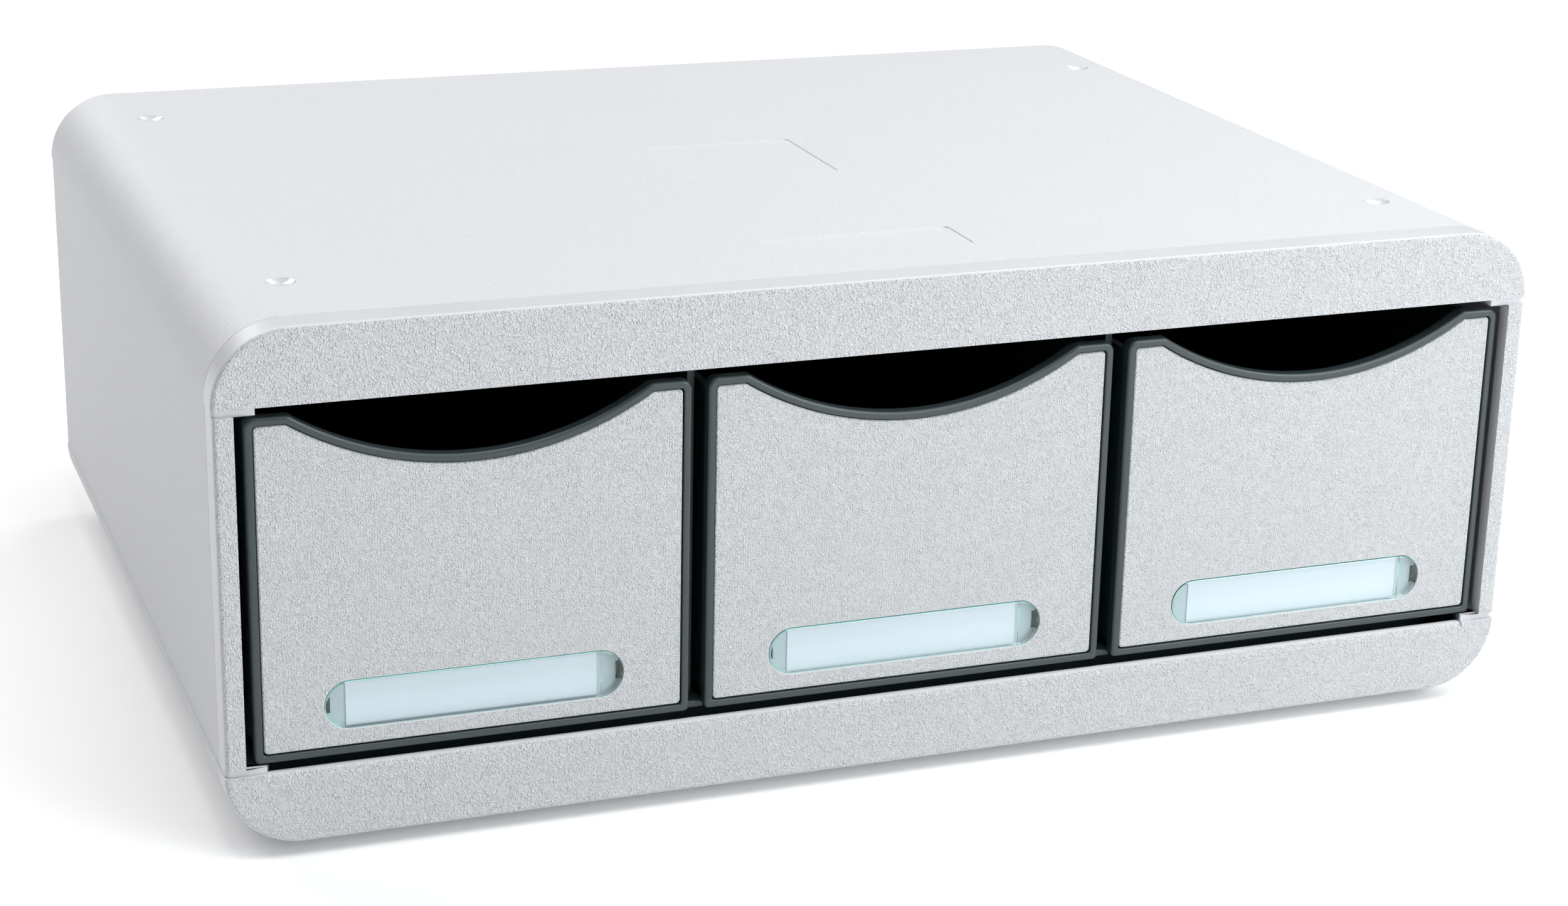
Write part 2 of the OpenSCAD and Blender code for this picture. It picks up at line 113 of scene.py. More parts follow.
class Graph:
    """The node tree of one new material or world."""

    def __init__(self, name: str, world: bool = False) -> None:
        """Starts an empty material or world.

        Args:
            name: Its name.
            world: Whether it is a world.
        """
        self.owner = (bpy.data.worlds if world else bpy.data.materials).new(name)
        self.owner.use_nodes = True
        self.tree = self.owner.node_tree
        self.tree.nodes.clear()

    def add(
        self, kind: str, inputs: dict[str | int, SocketValue] | None = None, **settings: object
    ) -> bpy.types.Node:
        """Adds a node, sets its properties and fills or links its inputs.

        Args:
            kind: The node's type, such as ShaderNodeBump.
            inputs: What goes into each input: a value, or the socket to link from.
            **settings: Properties of the node itself.

        Returns:
            The new node.
        """
        node = self.tree.nodes.new(kind)
        for name, value in settings.items():
            setattr(node, name, value)
        for key, value in (inputs or {}).items():
            if isinstance(value, bpy.types.NodeSocket):
                self.tree.links.new(value, node.inputs[key])
            else:
                node.inputs[key].default_value = value
        return node

    def finish(
        self, shader: bpy.types.Node, volume: bpy.types.Node | None = None
    ) -> bpy.types.Material:
        """Links the shaders to the material's output.

        Args:
            shader: The node whose first output is the surface.
            volume: The node whose first output is the inside, if it has one.

        Returns:
            The finished material.
        """
        output = self.add("ShaderNodeOutputMaterial", {"Surface": shader.outputs[0]})
        if volume:
            self.tree.links.new(volume.outputs[0], output.inputs["Volume"])
        return self.owner

    def millimetres(self) -> bpy.types.NodeSocket:
        """Gives the surface's own coordinates, counted in millimetres.

        Returns:
            The socket.
        """
        coordinates = self.add("ShaderNodeTexCoord")
        scale = self.add(
            "ShaderNodeVectorMath",
            {0: coordinates.outputs["Object"], 1: (1 / MM,) * 3},
            operation="MULTIPLY",
        )
        return scale.outputs[0]

    def facing_front(self, away: float = 0.35, straight: float = 0.8) -> bpy.types.NodeSocket:
        """Gives 1 where the surface faces the front or rear, and less where it turns away.

        Args:
            away: Cosine of the turn at which it gives 0.
            straight: Cosine of the turn at which it still gives 1.

        Returns:
            The socket.
        """
        coordinates = self.add("ShaderNodeTexCoord")
        parts = self.add("ShaderNodeSeparateXYZ", {0: coordinates.outputs["Normal"]})
        turned = self.add("ShaderNodeMath", {0: parts.outputs["Y"]}, operation="ABSOLUTE")
        fade = self.add(
            "ShaderNodeMapRange",
            {"Value": turned.outputs[0], "From Min": away, "From Max": straight},
        )
        return fade.outputs[0]

    def shade(
        self, colour: Colour, where: bpy.types.NodeSocket, size_mm: float, spread: float
    ) -> bpy.types.NodeSocket:
        """Mottles a colour very slightly, as pigment and flow do in a moulding.

        Args:
            colour: The middle colour.
            where: Coordinates in millimetres.
            size_mm: The size of the patches.
            spread: How much darker the darkest patch is, from 0 to 1.

        Returns:
            The colour socket.
        """
        patches = self.add(
            "ShaderNodeTexNoise", {"Vector": where, "Scale": 1 / size_mm, "Detail": 3.0}
        )
        light = linear(colour)
        dark = tuple(c * (1 - spread) for c in light[:3]) + (1.0,)
        mix = self.add(
            "ShaderNodeMix",
            {"Factor": patches.outputs["Fac"], MIX_FROM: dark, MIX_TO: light},
            data_type="RGBA",
        )
        return mix.outputs[2]

    def surface(
        self,
        colour: Colour,
        where: bpy.types.NodeSocket,
        mottle: tuple[float, float],
        relief: tuple[bpy.types.NodeSocket, SocketValue, float],
        inputs: dict[str | int, SocketValue],
    ) -> bpy.types.Material:
        """Ends a material whose surface is slightly mottled and uneven.

        Args:
            colour: Its middle colour.
            where: Coordinates in millimetres.
            mottle: Size of the patches in millimetres, and how much darker they get.
            relief: The pattern of its heights, their strength, and their millimetres.
            inputs: What else goes into the shader.

        Returns:
            The finished material.
        """
        pattern, strength, height_mm = relief
        bump = self.add(
            "ShaderNodeBump",
            {"Height": pattern, "Strength": strength, "Distance": height_mm * MM},
        )
        base = self.shade(colour, where, *mottle)
        shader = self.add(
            "ShaderNodeBsdfPrincipled",
            {"Base Color": base, "Normal": bump.outputs[0], **inputs},
        )
        return self.finish(shader)


@dataclass(frozen=True)
class GrainedPlastic:
    """High-impact polystyrene, moulded in a tool whose walls were spark-eroded.

    The tool's texture gives the eye a soft leather-like grain that scatters the light,
    and hides gloss and sink marks.

    Attributes:
        name: The material's name.
        colour: Its colour.
        pitch_mm: Distance between the hills of the grain.
        depth_mm: Height of the hills.
        runs_out: Whether the grain fades where the surface turns away from the front.
        roughness: Roughness between the hills.
        uneven: How far the roughness strays to either side.
    """

    name: str
    colour: Colour
    pitch_mm: float
    depth_mm: float
    runs_out: bool = False
    roughness: float = 0.5
    uneven: float = 0.06

    def build(self) -> bpy.types.Material:
        """Builds the material.

        Returns:
            The finished material.
        """
        graph = Graph(self.name)
        where = graph.millimetres()
        wrinkles = graph.add(
            "ShaderNodeTexNoise",
            {"Vector": where, "Scale": 1 / self.pitch_mm, "Detail": 1.0, "Roughness": 0.6},
        )
        middle = graph.add(
            "ShaderNodeMath", {0: wrinkles.outputs["Fac"], 1: 0.5}, operation="SUBTRACT"
        )
        furrows = graph.add("ShaderNodeMath", {0: middle.outputs[0]}, operation="ABSOLUTE")
        strength = graph.facing_front() if self.runs_out else 1.0
        gloss = graph.add(
            "ShaderNodeMapRange",
            {
                "Value": wrinkles.outputs["Fac"],
                "To Min": self.roughness - self.uneven,
                "To Max": self.roughness + self.uneven,
            },
        )
        relief = (furrows.outputs[0], strength, self.depth_mm)
        inputs = {"Roughness": gloss.outputs[0], "IOR": POLYSTYRENE_IOR}
        return graph.surface(self.colour, where, (30.0, 0.02), relief, inputs)


@dataclass(frozen=True)
class SmoothPlastic:
    """Polystyrene from a plain, blasted tool: satin, with a faint orange peel.

    Attributes:
        name: The material's name.
        colour: Its colour.
        roughness: Roughness of the surface.
        uneven: How far the roughness strays to either side.
        peel_mm: Height of the orange peel.
    """

    name: str
    colour: Colour
    roughness: float = 0.35
    uneven: float = 0.05
    peel_mm: float = 0.004

    def build(self) -> bpy.types.Material:
        """Builds the material.

        Returns:
            The finished material.
        """
        graph = Graph(self.name)
        where = graph.millimetres()
        peel = graph.add("ShaderNodeTexNoise", {"Vector": where, "Scale": 1.1, "Detail": 2.0})
        smudges = graph.add("ShaderNodeTexNoise", {"Vector": where, "Scale": 0.05, "Detail": 4.0})
        gloss = graph.add(
            "ShaderNodeMapRange",
            {
                "Value": smudges.outputs["Fac"],
                "To Min": self.roughness - self.uneven,
                "To Max": self.roughness + self.uneven,
            },
        )
        relief = (peel.outputs["Fac"], 1.0, self.peel_mm)
        inputs = {"Roughness": gloss.outputs[0], "IOR": POLYSTYRENE_IOR}
        return graph.surface(self.colour, where, (40.0, 0.03), relief, inputs)


@dataclass(frozen=True)
class ClearPlastic:
    """Clear styrene copolymer from a polished tool: glossy, and green-blue where it is thick.

    The lamps shine straight through it, so that the card behind it isn't left in the dark.

    Attributes:
        name: The material's name.
        colour: The cast that it has in bulk.
        edge: A painted tint on its surfaces where they turn away from the front, which stands in
            for the greener light that leaves its edges after a long way through the plastic.
        density: How strongly it absorbs the light, per metre.
        turn: Cosines of the turn at which it is all painted edge tint, and all face.
    """

    name: str
    colour: Colour
    edge: Colour
    density: float = 70.0
    turn: tuple[float, float] = (0.7, 0.98)

    def build(self) -> bpy.types.Material:
        """Builds the material.

        Returns:
            The finished material.
        """
        graph = Graph(self.name)
        where = graph.millimetres()
        flow = graph.add("ShaderNodeTexNoise", {"Vector": where, "Scale": 0.12, "Detail": 1.0})
        bump = graph.add(
            "ShaderNodeBump",
            {"Height": flow.outputs["Fac"], "Strength": 0.3, "Distance": 0.02 * MM},
        )
        # Painted tint: the base colour turns greener where the surface turns away from the front,
        # standing in for light piped through the plastic.
        face = graph.facing_front(*self.turn)
        skin = graph.add(
            "ShaderNodeMix",
            {"Factor": face, MIX_FROM: linear(self.edge), MIX_TO: WHITE},
            data_type="RGBA",
        )
        glass = graph.add(
            "ShaderNodeBsdfPrincipled",
            {
                "Base Color": skin.outputs[2],
                "Roughness": 0.03,
                "IOR": 1.57,
                "Transmission Weight": 1.0,
                "Normal": bump.outputs[0],
            },
        )
        passing = graph.add("ShaderNodeBsdfTransparent", {"Color": (0.97, 0.97, 0.97, 1.0)})
        rays = graph.add("ShaderNodeLightPath")
        straight = graph.add(
            "ShaderNodeMath",
            {0: rays.outputs["Is Shadow Ray"], 1: rays.outputs["Is Diffuse Ray"]},
            operation="MAXIMUM",
        )
        shader = graph.add(
            "ShaderNodeMixShader",
            {0: straight.outputs[0], 1: glass.outputs[0], 2: passing.outputs[0]},
        )
        cast = graph.add(
            "ShaderNodeVolumeAbsorption", {"Color": linear(self.colour), "Density": self.density}
        )
        return graph.finish(shader, cast)


@dataclass(frozen=True)
class Card:
    """Bleached card stock, uncoated: matt, with short fibres that just show.

    Attributes:
        name: The material's name.
        colour: Its colour.
    """

    name: str
    colour: Colour

    def build(self) -> bpy.types.Material:
        """Builds the material.

        Returns:
            The finished material.
        """
        graph = Graph(self.name)
        where = graph.millimetres()
        fibres = graph.add(
            "ShaderNodeTexNoise", {"Vector": where, "Scale": 1.6, "Detail": 5.0, "Roughness": 0.7}
        )
        relief = (fibres.outputs["Fac"], 0.5, 0.02)
        return graph.surface(self.colour, where, (2.0, 0.03), relief, {"Roughness": 0.85})


@dataclass(frozen=True)
class Rubber:
    """Thermoplastic rubber: matt and a little uneven, so that it grips the desk.

    Attributes:
        name: The material's name.
        colour: Its colour.
    """

    name: str
    colour: Colour

    def build(self) -> bpy.types.Material:
        """Builds the material.

        Returns:
            The finished material.
        """
        graph = Graph(self.name)
        where = graph.millimetres()
        pores = graph.add("ShaderNodeTexNoise", {"Vector": where, "Scale": 2.5, "Detail": 4.0})
        relief = (pores.outputs["Fac"], 0.6, 0.05)
        return graph.surface(self.colour, where, (5.0, 0.08), relief, {"Roughness": 0.75})


@dataclass(frozen=True)
class LightTable:
    """White acrylic sheet, matt, lit from below so that hardly any shadow falls on it.

    Attributes:
        name: The material's name.
        colour: Its colour.
        glow: Brightness of the light that comes through it under the object.
        far_glow: Brightness of that light far from the object, where the lamps don't reach.
        reach: Distances in millimetres between which the glow rises.
    """

    name: str
    colour: Colour
    glow: float = 0.09
    far_glow: float = 0.7
    reach: tuple[float, float] = (700.0, 2200.0)

    def build(self) -> bpy.types.Material:
        """Builds the material.

        Returns:
            The finished material.
        """
        graph = Graph(self.name)
        where = graph.millimetres()
        haze = graph.add("ShaderNodeTexNoise", {"Vector": where, "Scale": 0.02, "Detail": 2.0})
        gloss = graph.add(
            "ShaderNodeMapRange", {"Value": haze.outputs["Fac"], "To Min": 0.55, "To Max": 0.65}
        )
        away = graph.add("ShaderNodeVectorMath", {0: where}, operation="LENGTH")
        near, far = self.reach
        glow = graph.add(
            "ShaderNodeMapRange",
            {
                "Value": away.outputs["Value"],
                "From Min": near,
                "From Max": far,
                "To Min": self.glow,
                "To Max": self.far_glow,
            },
        )
        shader = graph.add(
            "ShaderNodeBsdfPrincipled",
            {
                "Base Color": graph.shade(self.colour, where, 200.0, 0.01),
                "Roughness": gloss.outputs[0],
                "IOR": 1.49,
                "Emission Color": linear(self.colour),
                "Emission Strength": glow.outputs[0],
            },
        )
        return graph.finish(shader)


class Finish(Enum):
    """Every finish on the object and in the studio."""

    FRONT_GRAIN = GrainedPlastic(
        "casing_front_grain", Colour.CASING, pitch_mm=0.68, depth_mm=1.35, runs_out=True
    )
    FINE_GRAIN = GrainedPlastic("casing_fine_grain", Colour.CASING, pitch_mm=0.62, depth_mm=0.3)
    CASING_SMOOTH = SmoothPlastic("casing_smooth", Colour.CASING)
    CASING_GLOSS = SmoothPlastic("casing_recess_gloss", Colour.CASING, roughness=0.16)
    CHASSIS_SMOOTH = SmoothPlastic("chassis_satin", Colour.CHASSIS, roughness=0.38)
    # Painted shade: the plate's notch walls are made near-black to stand in for the shadow in the
    # notch.
    GAP_SHADE = SmoothPlastic("painted_notch_shade", Colour.GAP, roughness=0.6)
    CLEAR = ClearPlastic("label_window_clear", Colour.WINDOW, Colour.WINDOW_EDGE)
    CARD = Card("label_card", Colour.CARD)
    RUBBER = Rubber("foot_rubber", Colour.FOOT)
    FLOOR = LightTable("studio_floor", Colour.FLOOR)

    def material(self) -> bpy.types.Material:
        """Gives the finish's material, which is built only once."""
        return bpy.data.materials.get(self.value.name) or self.value.build()


class SkinSlot(IntEnum):
    """The places of the finishes in the meshes of the shells and side panels."""

    GRAIN = 0
    SMOOTH = 1
    FINE = 2
    GLOSS = 3


class PlateSlot(IntEnum):
    """The places of the finishes in the mesh of a front plate."""

    GRAIN = 0
    SMOOTH = 1
    # The notch walls, which carry a painted shade.
    GAP = 2


# ---------- outlines and meshes ----------


def arc(
    centre: tuple[float, float], radius: float, start: float, end: float, steps: int = 10
) -> Outline:
    """Lists points along an arc.

    Args:
        centre: The arc's centre.
        radius: Its radius.
        start: The angle of the first point, in degrees.
        end: The angle of the last point, in degrees.
        steps: The number of steps between them.

    Returns:
        The points, with both ends.
    """
    angles = (math.radians(start + (end - start) * i / steps) for i in range(steps + 1))
    return [(centre[0] + radius * math.cos(a), centre[1] + radius * math.sin(a)) for a in angles]


def circle(centre: tuple[float, float], radius: float, count: int) -> Outline:
    """Lists points round a circle.

    Args:
        centre: Its middle.
        radius: Its radius.
        count: The number of points.

    Returns:
        The points.
    """
    return arc(centre, radius, 0, 360 - 360 / count, count - 1)


def rounding(radius: float, steps: int = 5) -> list[tuple[float, float]]:
    """Lists the rings of a rounded edge, from its face to its side.

    Args:
        radius: The edge's radius.
        steps: The number of steps.

    Returns:
        Pairs of the ring's inset from the side, and its depth behind the face.
    """
    angles = (math.radians(90 * i / steps) for i in range(steps + 1))
    return [(radius * (1 - math.sin(a)), radius * (1 - math.cos(a))) for a in angles]


def rectangle(width: float, height: float, centre: tuple[float, float] = (0, 0)) -> Outline:
    """Lists the corners of a rectangle.

    Args:
        width: Its width.
        height: Its height.
        centre: Its middle.

    Returns:
        The four corners, counter-clockwise.
    """
    x, z = width / 2, height / 2
    return [
        (centre[0] + sx * x, centre[1] + sz * z) for sx, sz in ((-1, -1), (1, -1), (1, 1), (-1, 1))
    ]


def rounded_rectangle(
    width: float, height: float, radius: float, centre: tuple[float, float] = (0, 0)
) -> Outline:
    """Lists the points of a rectangle with rounded corners.

    Args:
        width: Its width.
        height: Its height.
        radius: The corners' radius.
        centre: Its middle.

    Returns:
        The points, counter-clockwise.
    """
    x, z = width / 2 - radius, height / 2 - radius
    corners = ((x, z, 0), (-x, z, 90), (-x, -z, 180), (x, -z, 270))
    return [
        point
        for cx, cz, start in corners
        for point in arc((centre[0] + cx, centre[1] + cz), radius, start, start + 90, 6)
    ]


def stadium(length: float, height: float, z: float, corner_x: float) -> Outline:
    """Lists the points of a slot with round ends.

    Args:
        length: Its overall length.
        height: Its height.
        z: The height of its middle.
        corner_x: Where the ends have one more point, which the window's recess needs.

    Returns:
        The points, counter-clockwise.
    """
    radius = height / 2
    middle = length / 2 - radius
    turn = math.degrees(math.asin((corner_x - middle) / radius))
    right = arc((middle, z), radius, turn - 90, 90 - turn, 18)
    left = arc((-middle, z), radius, 90 + turn, 270 - turn, 18)
    return [
        (middle, z - radius), *right, (middle, z + radius),
        (-middle, z + radius), *left, (-middle, z - radius),
    ]  # fmt: skip


class Draft:
    """A mesh that is being put together from rings of points, in millimetres."""

    def __init__(self, offset: float = 0.0) -> None:
        """Starts an empty mesh.

        Args:
            offset: How far its points are moved along X.
        """
        self.mesh = bmesh.new()
        self.offset = offset

    def ring(self, outline: Outline, y: float) -> Ring:
        """Adds the points of an outline in X and Z.

        Args:
            outline: The points.
            y: Their place along the depth.

        Returns:
            The new vertices.
        """
        return [self.mesh.verts.new((x + self.offset, y, z)) for x, z in outline]

    def level(self, outline: Outline, z: float) -> Ring:
        """Adds the points of an outline in X and Y.

        Args:
            outline: The points.
            z: Their height.

        Returns:
            The new vertices.
        """
        return [self.mesh.verts.new((x + self.offset, y, z)) for x, y in outline]

    def face(self, corners: Ring, slot: int = 0) -> None:
        """Adds one face.

        Args:
            corners: Its vertices in order.
            slot: Its material's place in the mesh.
        """
        self.mesh.faces.new(corners).material_index = slot

    def loft(self, rings: list[Ring], slot: int = 0, closed: bool = True) -> None:
        """Joins rings of the same number of points with faces.

        Args:
            rings: The rings in order.
            slot: The faces' material.
            closed: Whether each ring's last point joins its first.
        """
        for near, far in zip(rings, rings[1:]):
            for i in range(len(near) - (0 if closed else 1)):
                j = (i + 1) % len(near)
                self.face([near[i], near[j], far[j], far[i]], slot)

    def close(self, rings: list[Ring], slot: int = 0) -> None:
        """Joins rings into a solid, with a face over each end.

        Args:
            rings: The rings in order.
            slot: The faces' material.
        """
        self.loft(rings, slot)
        self.face(rings[0], slot)
        self.face(rings[-1], slot)

    def fill(self, loops: list[Ring], slot: int = 0) -> None:
        """Fills a flat region between an outer loop and the holes in it.

        Args:
            loops: The outer loop and any holes.
            slot: The faces' material.
        """
        edges = [
            self.mesh.edges.get((a, b)) or self.mesh.edges.new((a, b))
            for loop in loops
            for a, b in zip(loop, loop[1:] + loop[:1])
        ]
        made = bmesh.ops.triangle_fill(self.mesh, use_beauty=True, edges=edges)
        for item in made["geom"]:
            if isinstance(item, bmesh.types.BMFace):
                item.material_index = slot

    def box(self, low: tuple[float, ...], high: tuple[float, ...], slot: int = 0) -> None:
        """Adds a block.

        Args:
            low: Its lowest corner.
            high: Its highest corner.
            slot: Its material.
        """
        corners = [(low[0], low[2]), (high[0], low[2]), (high[0], high[2]), (low[0], high[2])]
        self.close([self.ring(corners, y) for y in (low[1], high[1])], slot)

    def tube(
        self,
        at: tuple[float, float],
        diameters: tuple[float, float],
        heights: tuple[float, float, float],
        slot: int = 0,
    ) -> None:
        """Adds an upright boss with a blind bore.

        Args:
            at: The place of its axis.
            diameters: Its own diameter, and the bore's.
            heights: Heights of its open end, of its other end and of the bore's end.
            slot: Its material.
        """
        outside, inside = (circle(at, d / 2, 24) for d in diameters)
        mouth, root, floor = heights
        sides = [(outside, root), (outside, mouth), (inside, mouth), (inside, floor)]
        self.close([self.level(outline, z) for outline, z in sides], slot)

    def build(
        self, name: str, finishes: list[Finish], bevel: float = 0.0, limit: float = 80.0
    ) -> bpy.types.Object:
        """Turns the mesh into an object in metres, with its materials and its edges broken.

        Args:
            name: The object's name.
            finishes: The materials in the order of their slots.
            bevel: Width of the break on sharp edges, or 0 for none.
            limit: The least angle of an edge that is broken, in degrees.

        Returns:
            The object.
        """
        bmesh.ops.scale(self.mesh, vec=(MM, MM, MM), verts=self.mesh.verts)
        bmesh.ops.remove_doubles(self.mesh, verts=self.mesh.verts, dist=WELD_MM * MM)
        bmesh.ops.recalc_face_normals(self.mesh, faces=self.mesh.faces)
        mesh = bpy.data.meshes.new(name)
        self.mesh.to_mesh(mesh)
        self.mesh.free()
        for finish in finishes:
            mesh.materials.append(finish.material())
        piece = bpy.data.objects.new(name, mesh)
        bpy.context.collection.objects.link(piece)
        self.smooth(piece, bevel, limit)
        return piece

    @staticmethod
    def smooth(piece: bpy.types.Object, bevel: float, limit: float) -> None:
        """Breaks the sharp edges of a piece and shades the rest smoothly.

        Args:
            piece: The object.
            bevel: Width of the break in millimetres.
            limit: The least angle of an edge that is broken, in degrees.
        """
        piece.data.shade_smooth()
        if bevel:
            edges = piece.modifiers.new("edges", "BEVEL")
            edges.width = bevel * MM
            edges.segments = 2
            edges.limit_method = "ANGLE"
            edges.angle_limit = math.radians(limit)
            edges.miter_outer = "MITER_ARC"
        weighted = piece.modifiers.new("normals", "WEIGHTED_NORMAL")
        weighted.keep_sharp = True
        piece.data.set_sharp_from_angle(angle=math.radians(SHARP_DEGREES))
        graph = bpy.context.evaluated_depsgraph_get()
        shaped = bpy.data.meshes.new_from_object(piece.evaluated_get(graph))
        piece.modifiers.clear()
        piece.data = shaped


# ---------- casing ----------

# The last point of the front edge and of the band behind it, in a lengthwise section.
EDGE_END, BAND_END = 5, 8


@dataclass(frozen=True)
class CasingSize:
    """The casing's sizes in millimetres.

    Attributes:
        width: Overall width.
        depth: Overall depth.
        foot: Height of the feet.
        height: Height of the casing above them.
        shell: Height of each shell, and radius of its long corners.
        edge: Rounding of the front and rear edges.
        lip_round: Rounding of the bottom shell's front lip.
        panel_inset: How far the side panels stand inside the shells.
        wall: Wall thickness.
        band: Width of the smooth band behind the front edge.
        groove: Half the width of the parting line behind that band.
        strip: Width of the upright strip at the front of a side panel.
        rail: Thickness of a side panel's rails.
        rail_reach: How far the rails reach in.
        rail_setback: How far the rails' ends stand back from the front.
        rail_end: Thickness of a lower rail's end, in front of its notch.
        notch_end: Rear end of that notch, which the chassis floor fills.
        strip_depth: Thickness of the strip and of an upper rail's end.
        rail_gap: How far the rails end before the rear return.
    """

    width: float = 355.0
    depth: float = 270.0
    foot: float = 4.0
    height: float = 131.0
    shell: float = 19.0
    edge: float = 1.2
    lip_round: float = 1.9
    panel_inset: float = 0.25
    wall: float = 2.4
    band: float = 9.5
    groove: float = 0.18
    strip: float = 5.2
    rail: float = 1.9
    rail_reach: float = 10.4
    rail_setback: float = 0.9
    rail_end: float = 1.0
    notch_end: float = -115.1
    strip_depth: float = 4.0
    rail_gap: float = 1.8

    @property
    def low_seam(self) -> float:
        """Height of the seam above the bottom shell."""
        return self.foot + self.shell

    @property
    def high_seam(self) -> float:
        """Height of the seam below the top shell."""
        return self.foot + self.height - self.shell

    def skin(self, inset: float, front: float) -> Outline:
        """Lists a lengthwise section of the outer skin, from its front edge to its rear edge.

        Args:
            inset: How far the skin stands inside the casing's side.
            front: Where its front end is.

        Returns:
            Pairs of inset and place along the depth: 6 points for the front edge, 4 for
            the parting line and 6 for the rear edge.
        """
        g, y, rear = self.groove, self.band - self.depth / 2, self.depth / 2
        points = [(reach, front + back) for reach, back in rounding(self.edge)]
        points += [(0, y - g), (g, y - g / 2), (g, y + g / 2), (0, y + g)]
        points += [(reach, rear - back) for reach, back in reversed(rounding(self.edge))]
        return [(inset + reach, place) for reach, place in points]


@dataclass(frozen=True)
class InsideSize:
    """The sizes in millimetres of what is moulded inside the casing.

    Attributes:
        pitch: Distance between the lengthwise ribs.
        rib: Half the thickness of a rib.
        rib_reach: How far the lengthwise ribs reach to the front and rear.
        rows: Places of the cross ribs along the depth.
        headroom: How far the top shell's ribs stay above its seam.
        root: How far the ribs run into the shell's wall.
        step: How much shorter the cross ribs are.
        boss: Diameters of a boss and of its bore.
        bore: Depth of that bore.
        corner_boss: Place of a corner boss from the middle, and its height.
        inner_rows: Places of the inner bosses along the depth, in the top and bottom shell.
        foot_boss: Diameters of the boss over a foot, and of its bore.
        foot_levels: Heights of its open end, its other end and its bore's end above the
            casing's underside.
        lug: Front, rear and underside of a stop lug.
        lug_start: How far inside the casing's side a lug starts.
        lug_gap: How far a lug and a guide stay off the seam.
        guide: Inner and outer side of a drawer guide, and its front, rear and top.
    """

    pitch: float = 57.3
    rib: float = 0.8
    rib_reach: float = 110.0
    rows: tuple[float, ...] = (-65.0, 0.0, 65.0)
    headroom: float = 8.6
    root: float = 0.2
    step: float = 0.05
    boss: tuple[float, float] = (8.0, 4.2)
    bore: float = 6.0
    corner_boss: tuple[float, float, float] = (171.4, 95.0, 6.5)
    inner_rows: tuple[float, float] = (95.0, 65.0)
    foot_boss: tuple[float, float] = (9.0, 5.0)
    foot_levels: tuple[float, float, float] = (7.0, 1.0, 6.0)
    lug: tuple[float, float, float] = (-78.3, -75.3, 110.9)
    lug_start: float = 2.2
    lug_gap: float = 1.0
    guide: tuple[float, ...] = (169.4, 170.6, -115.0, 120.0, 26.9)


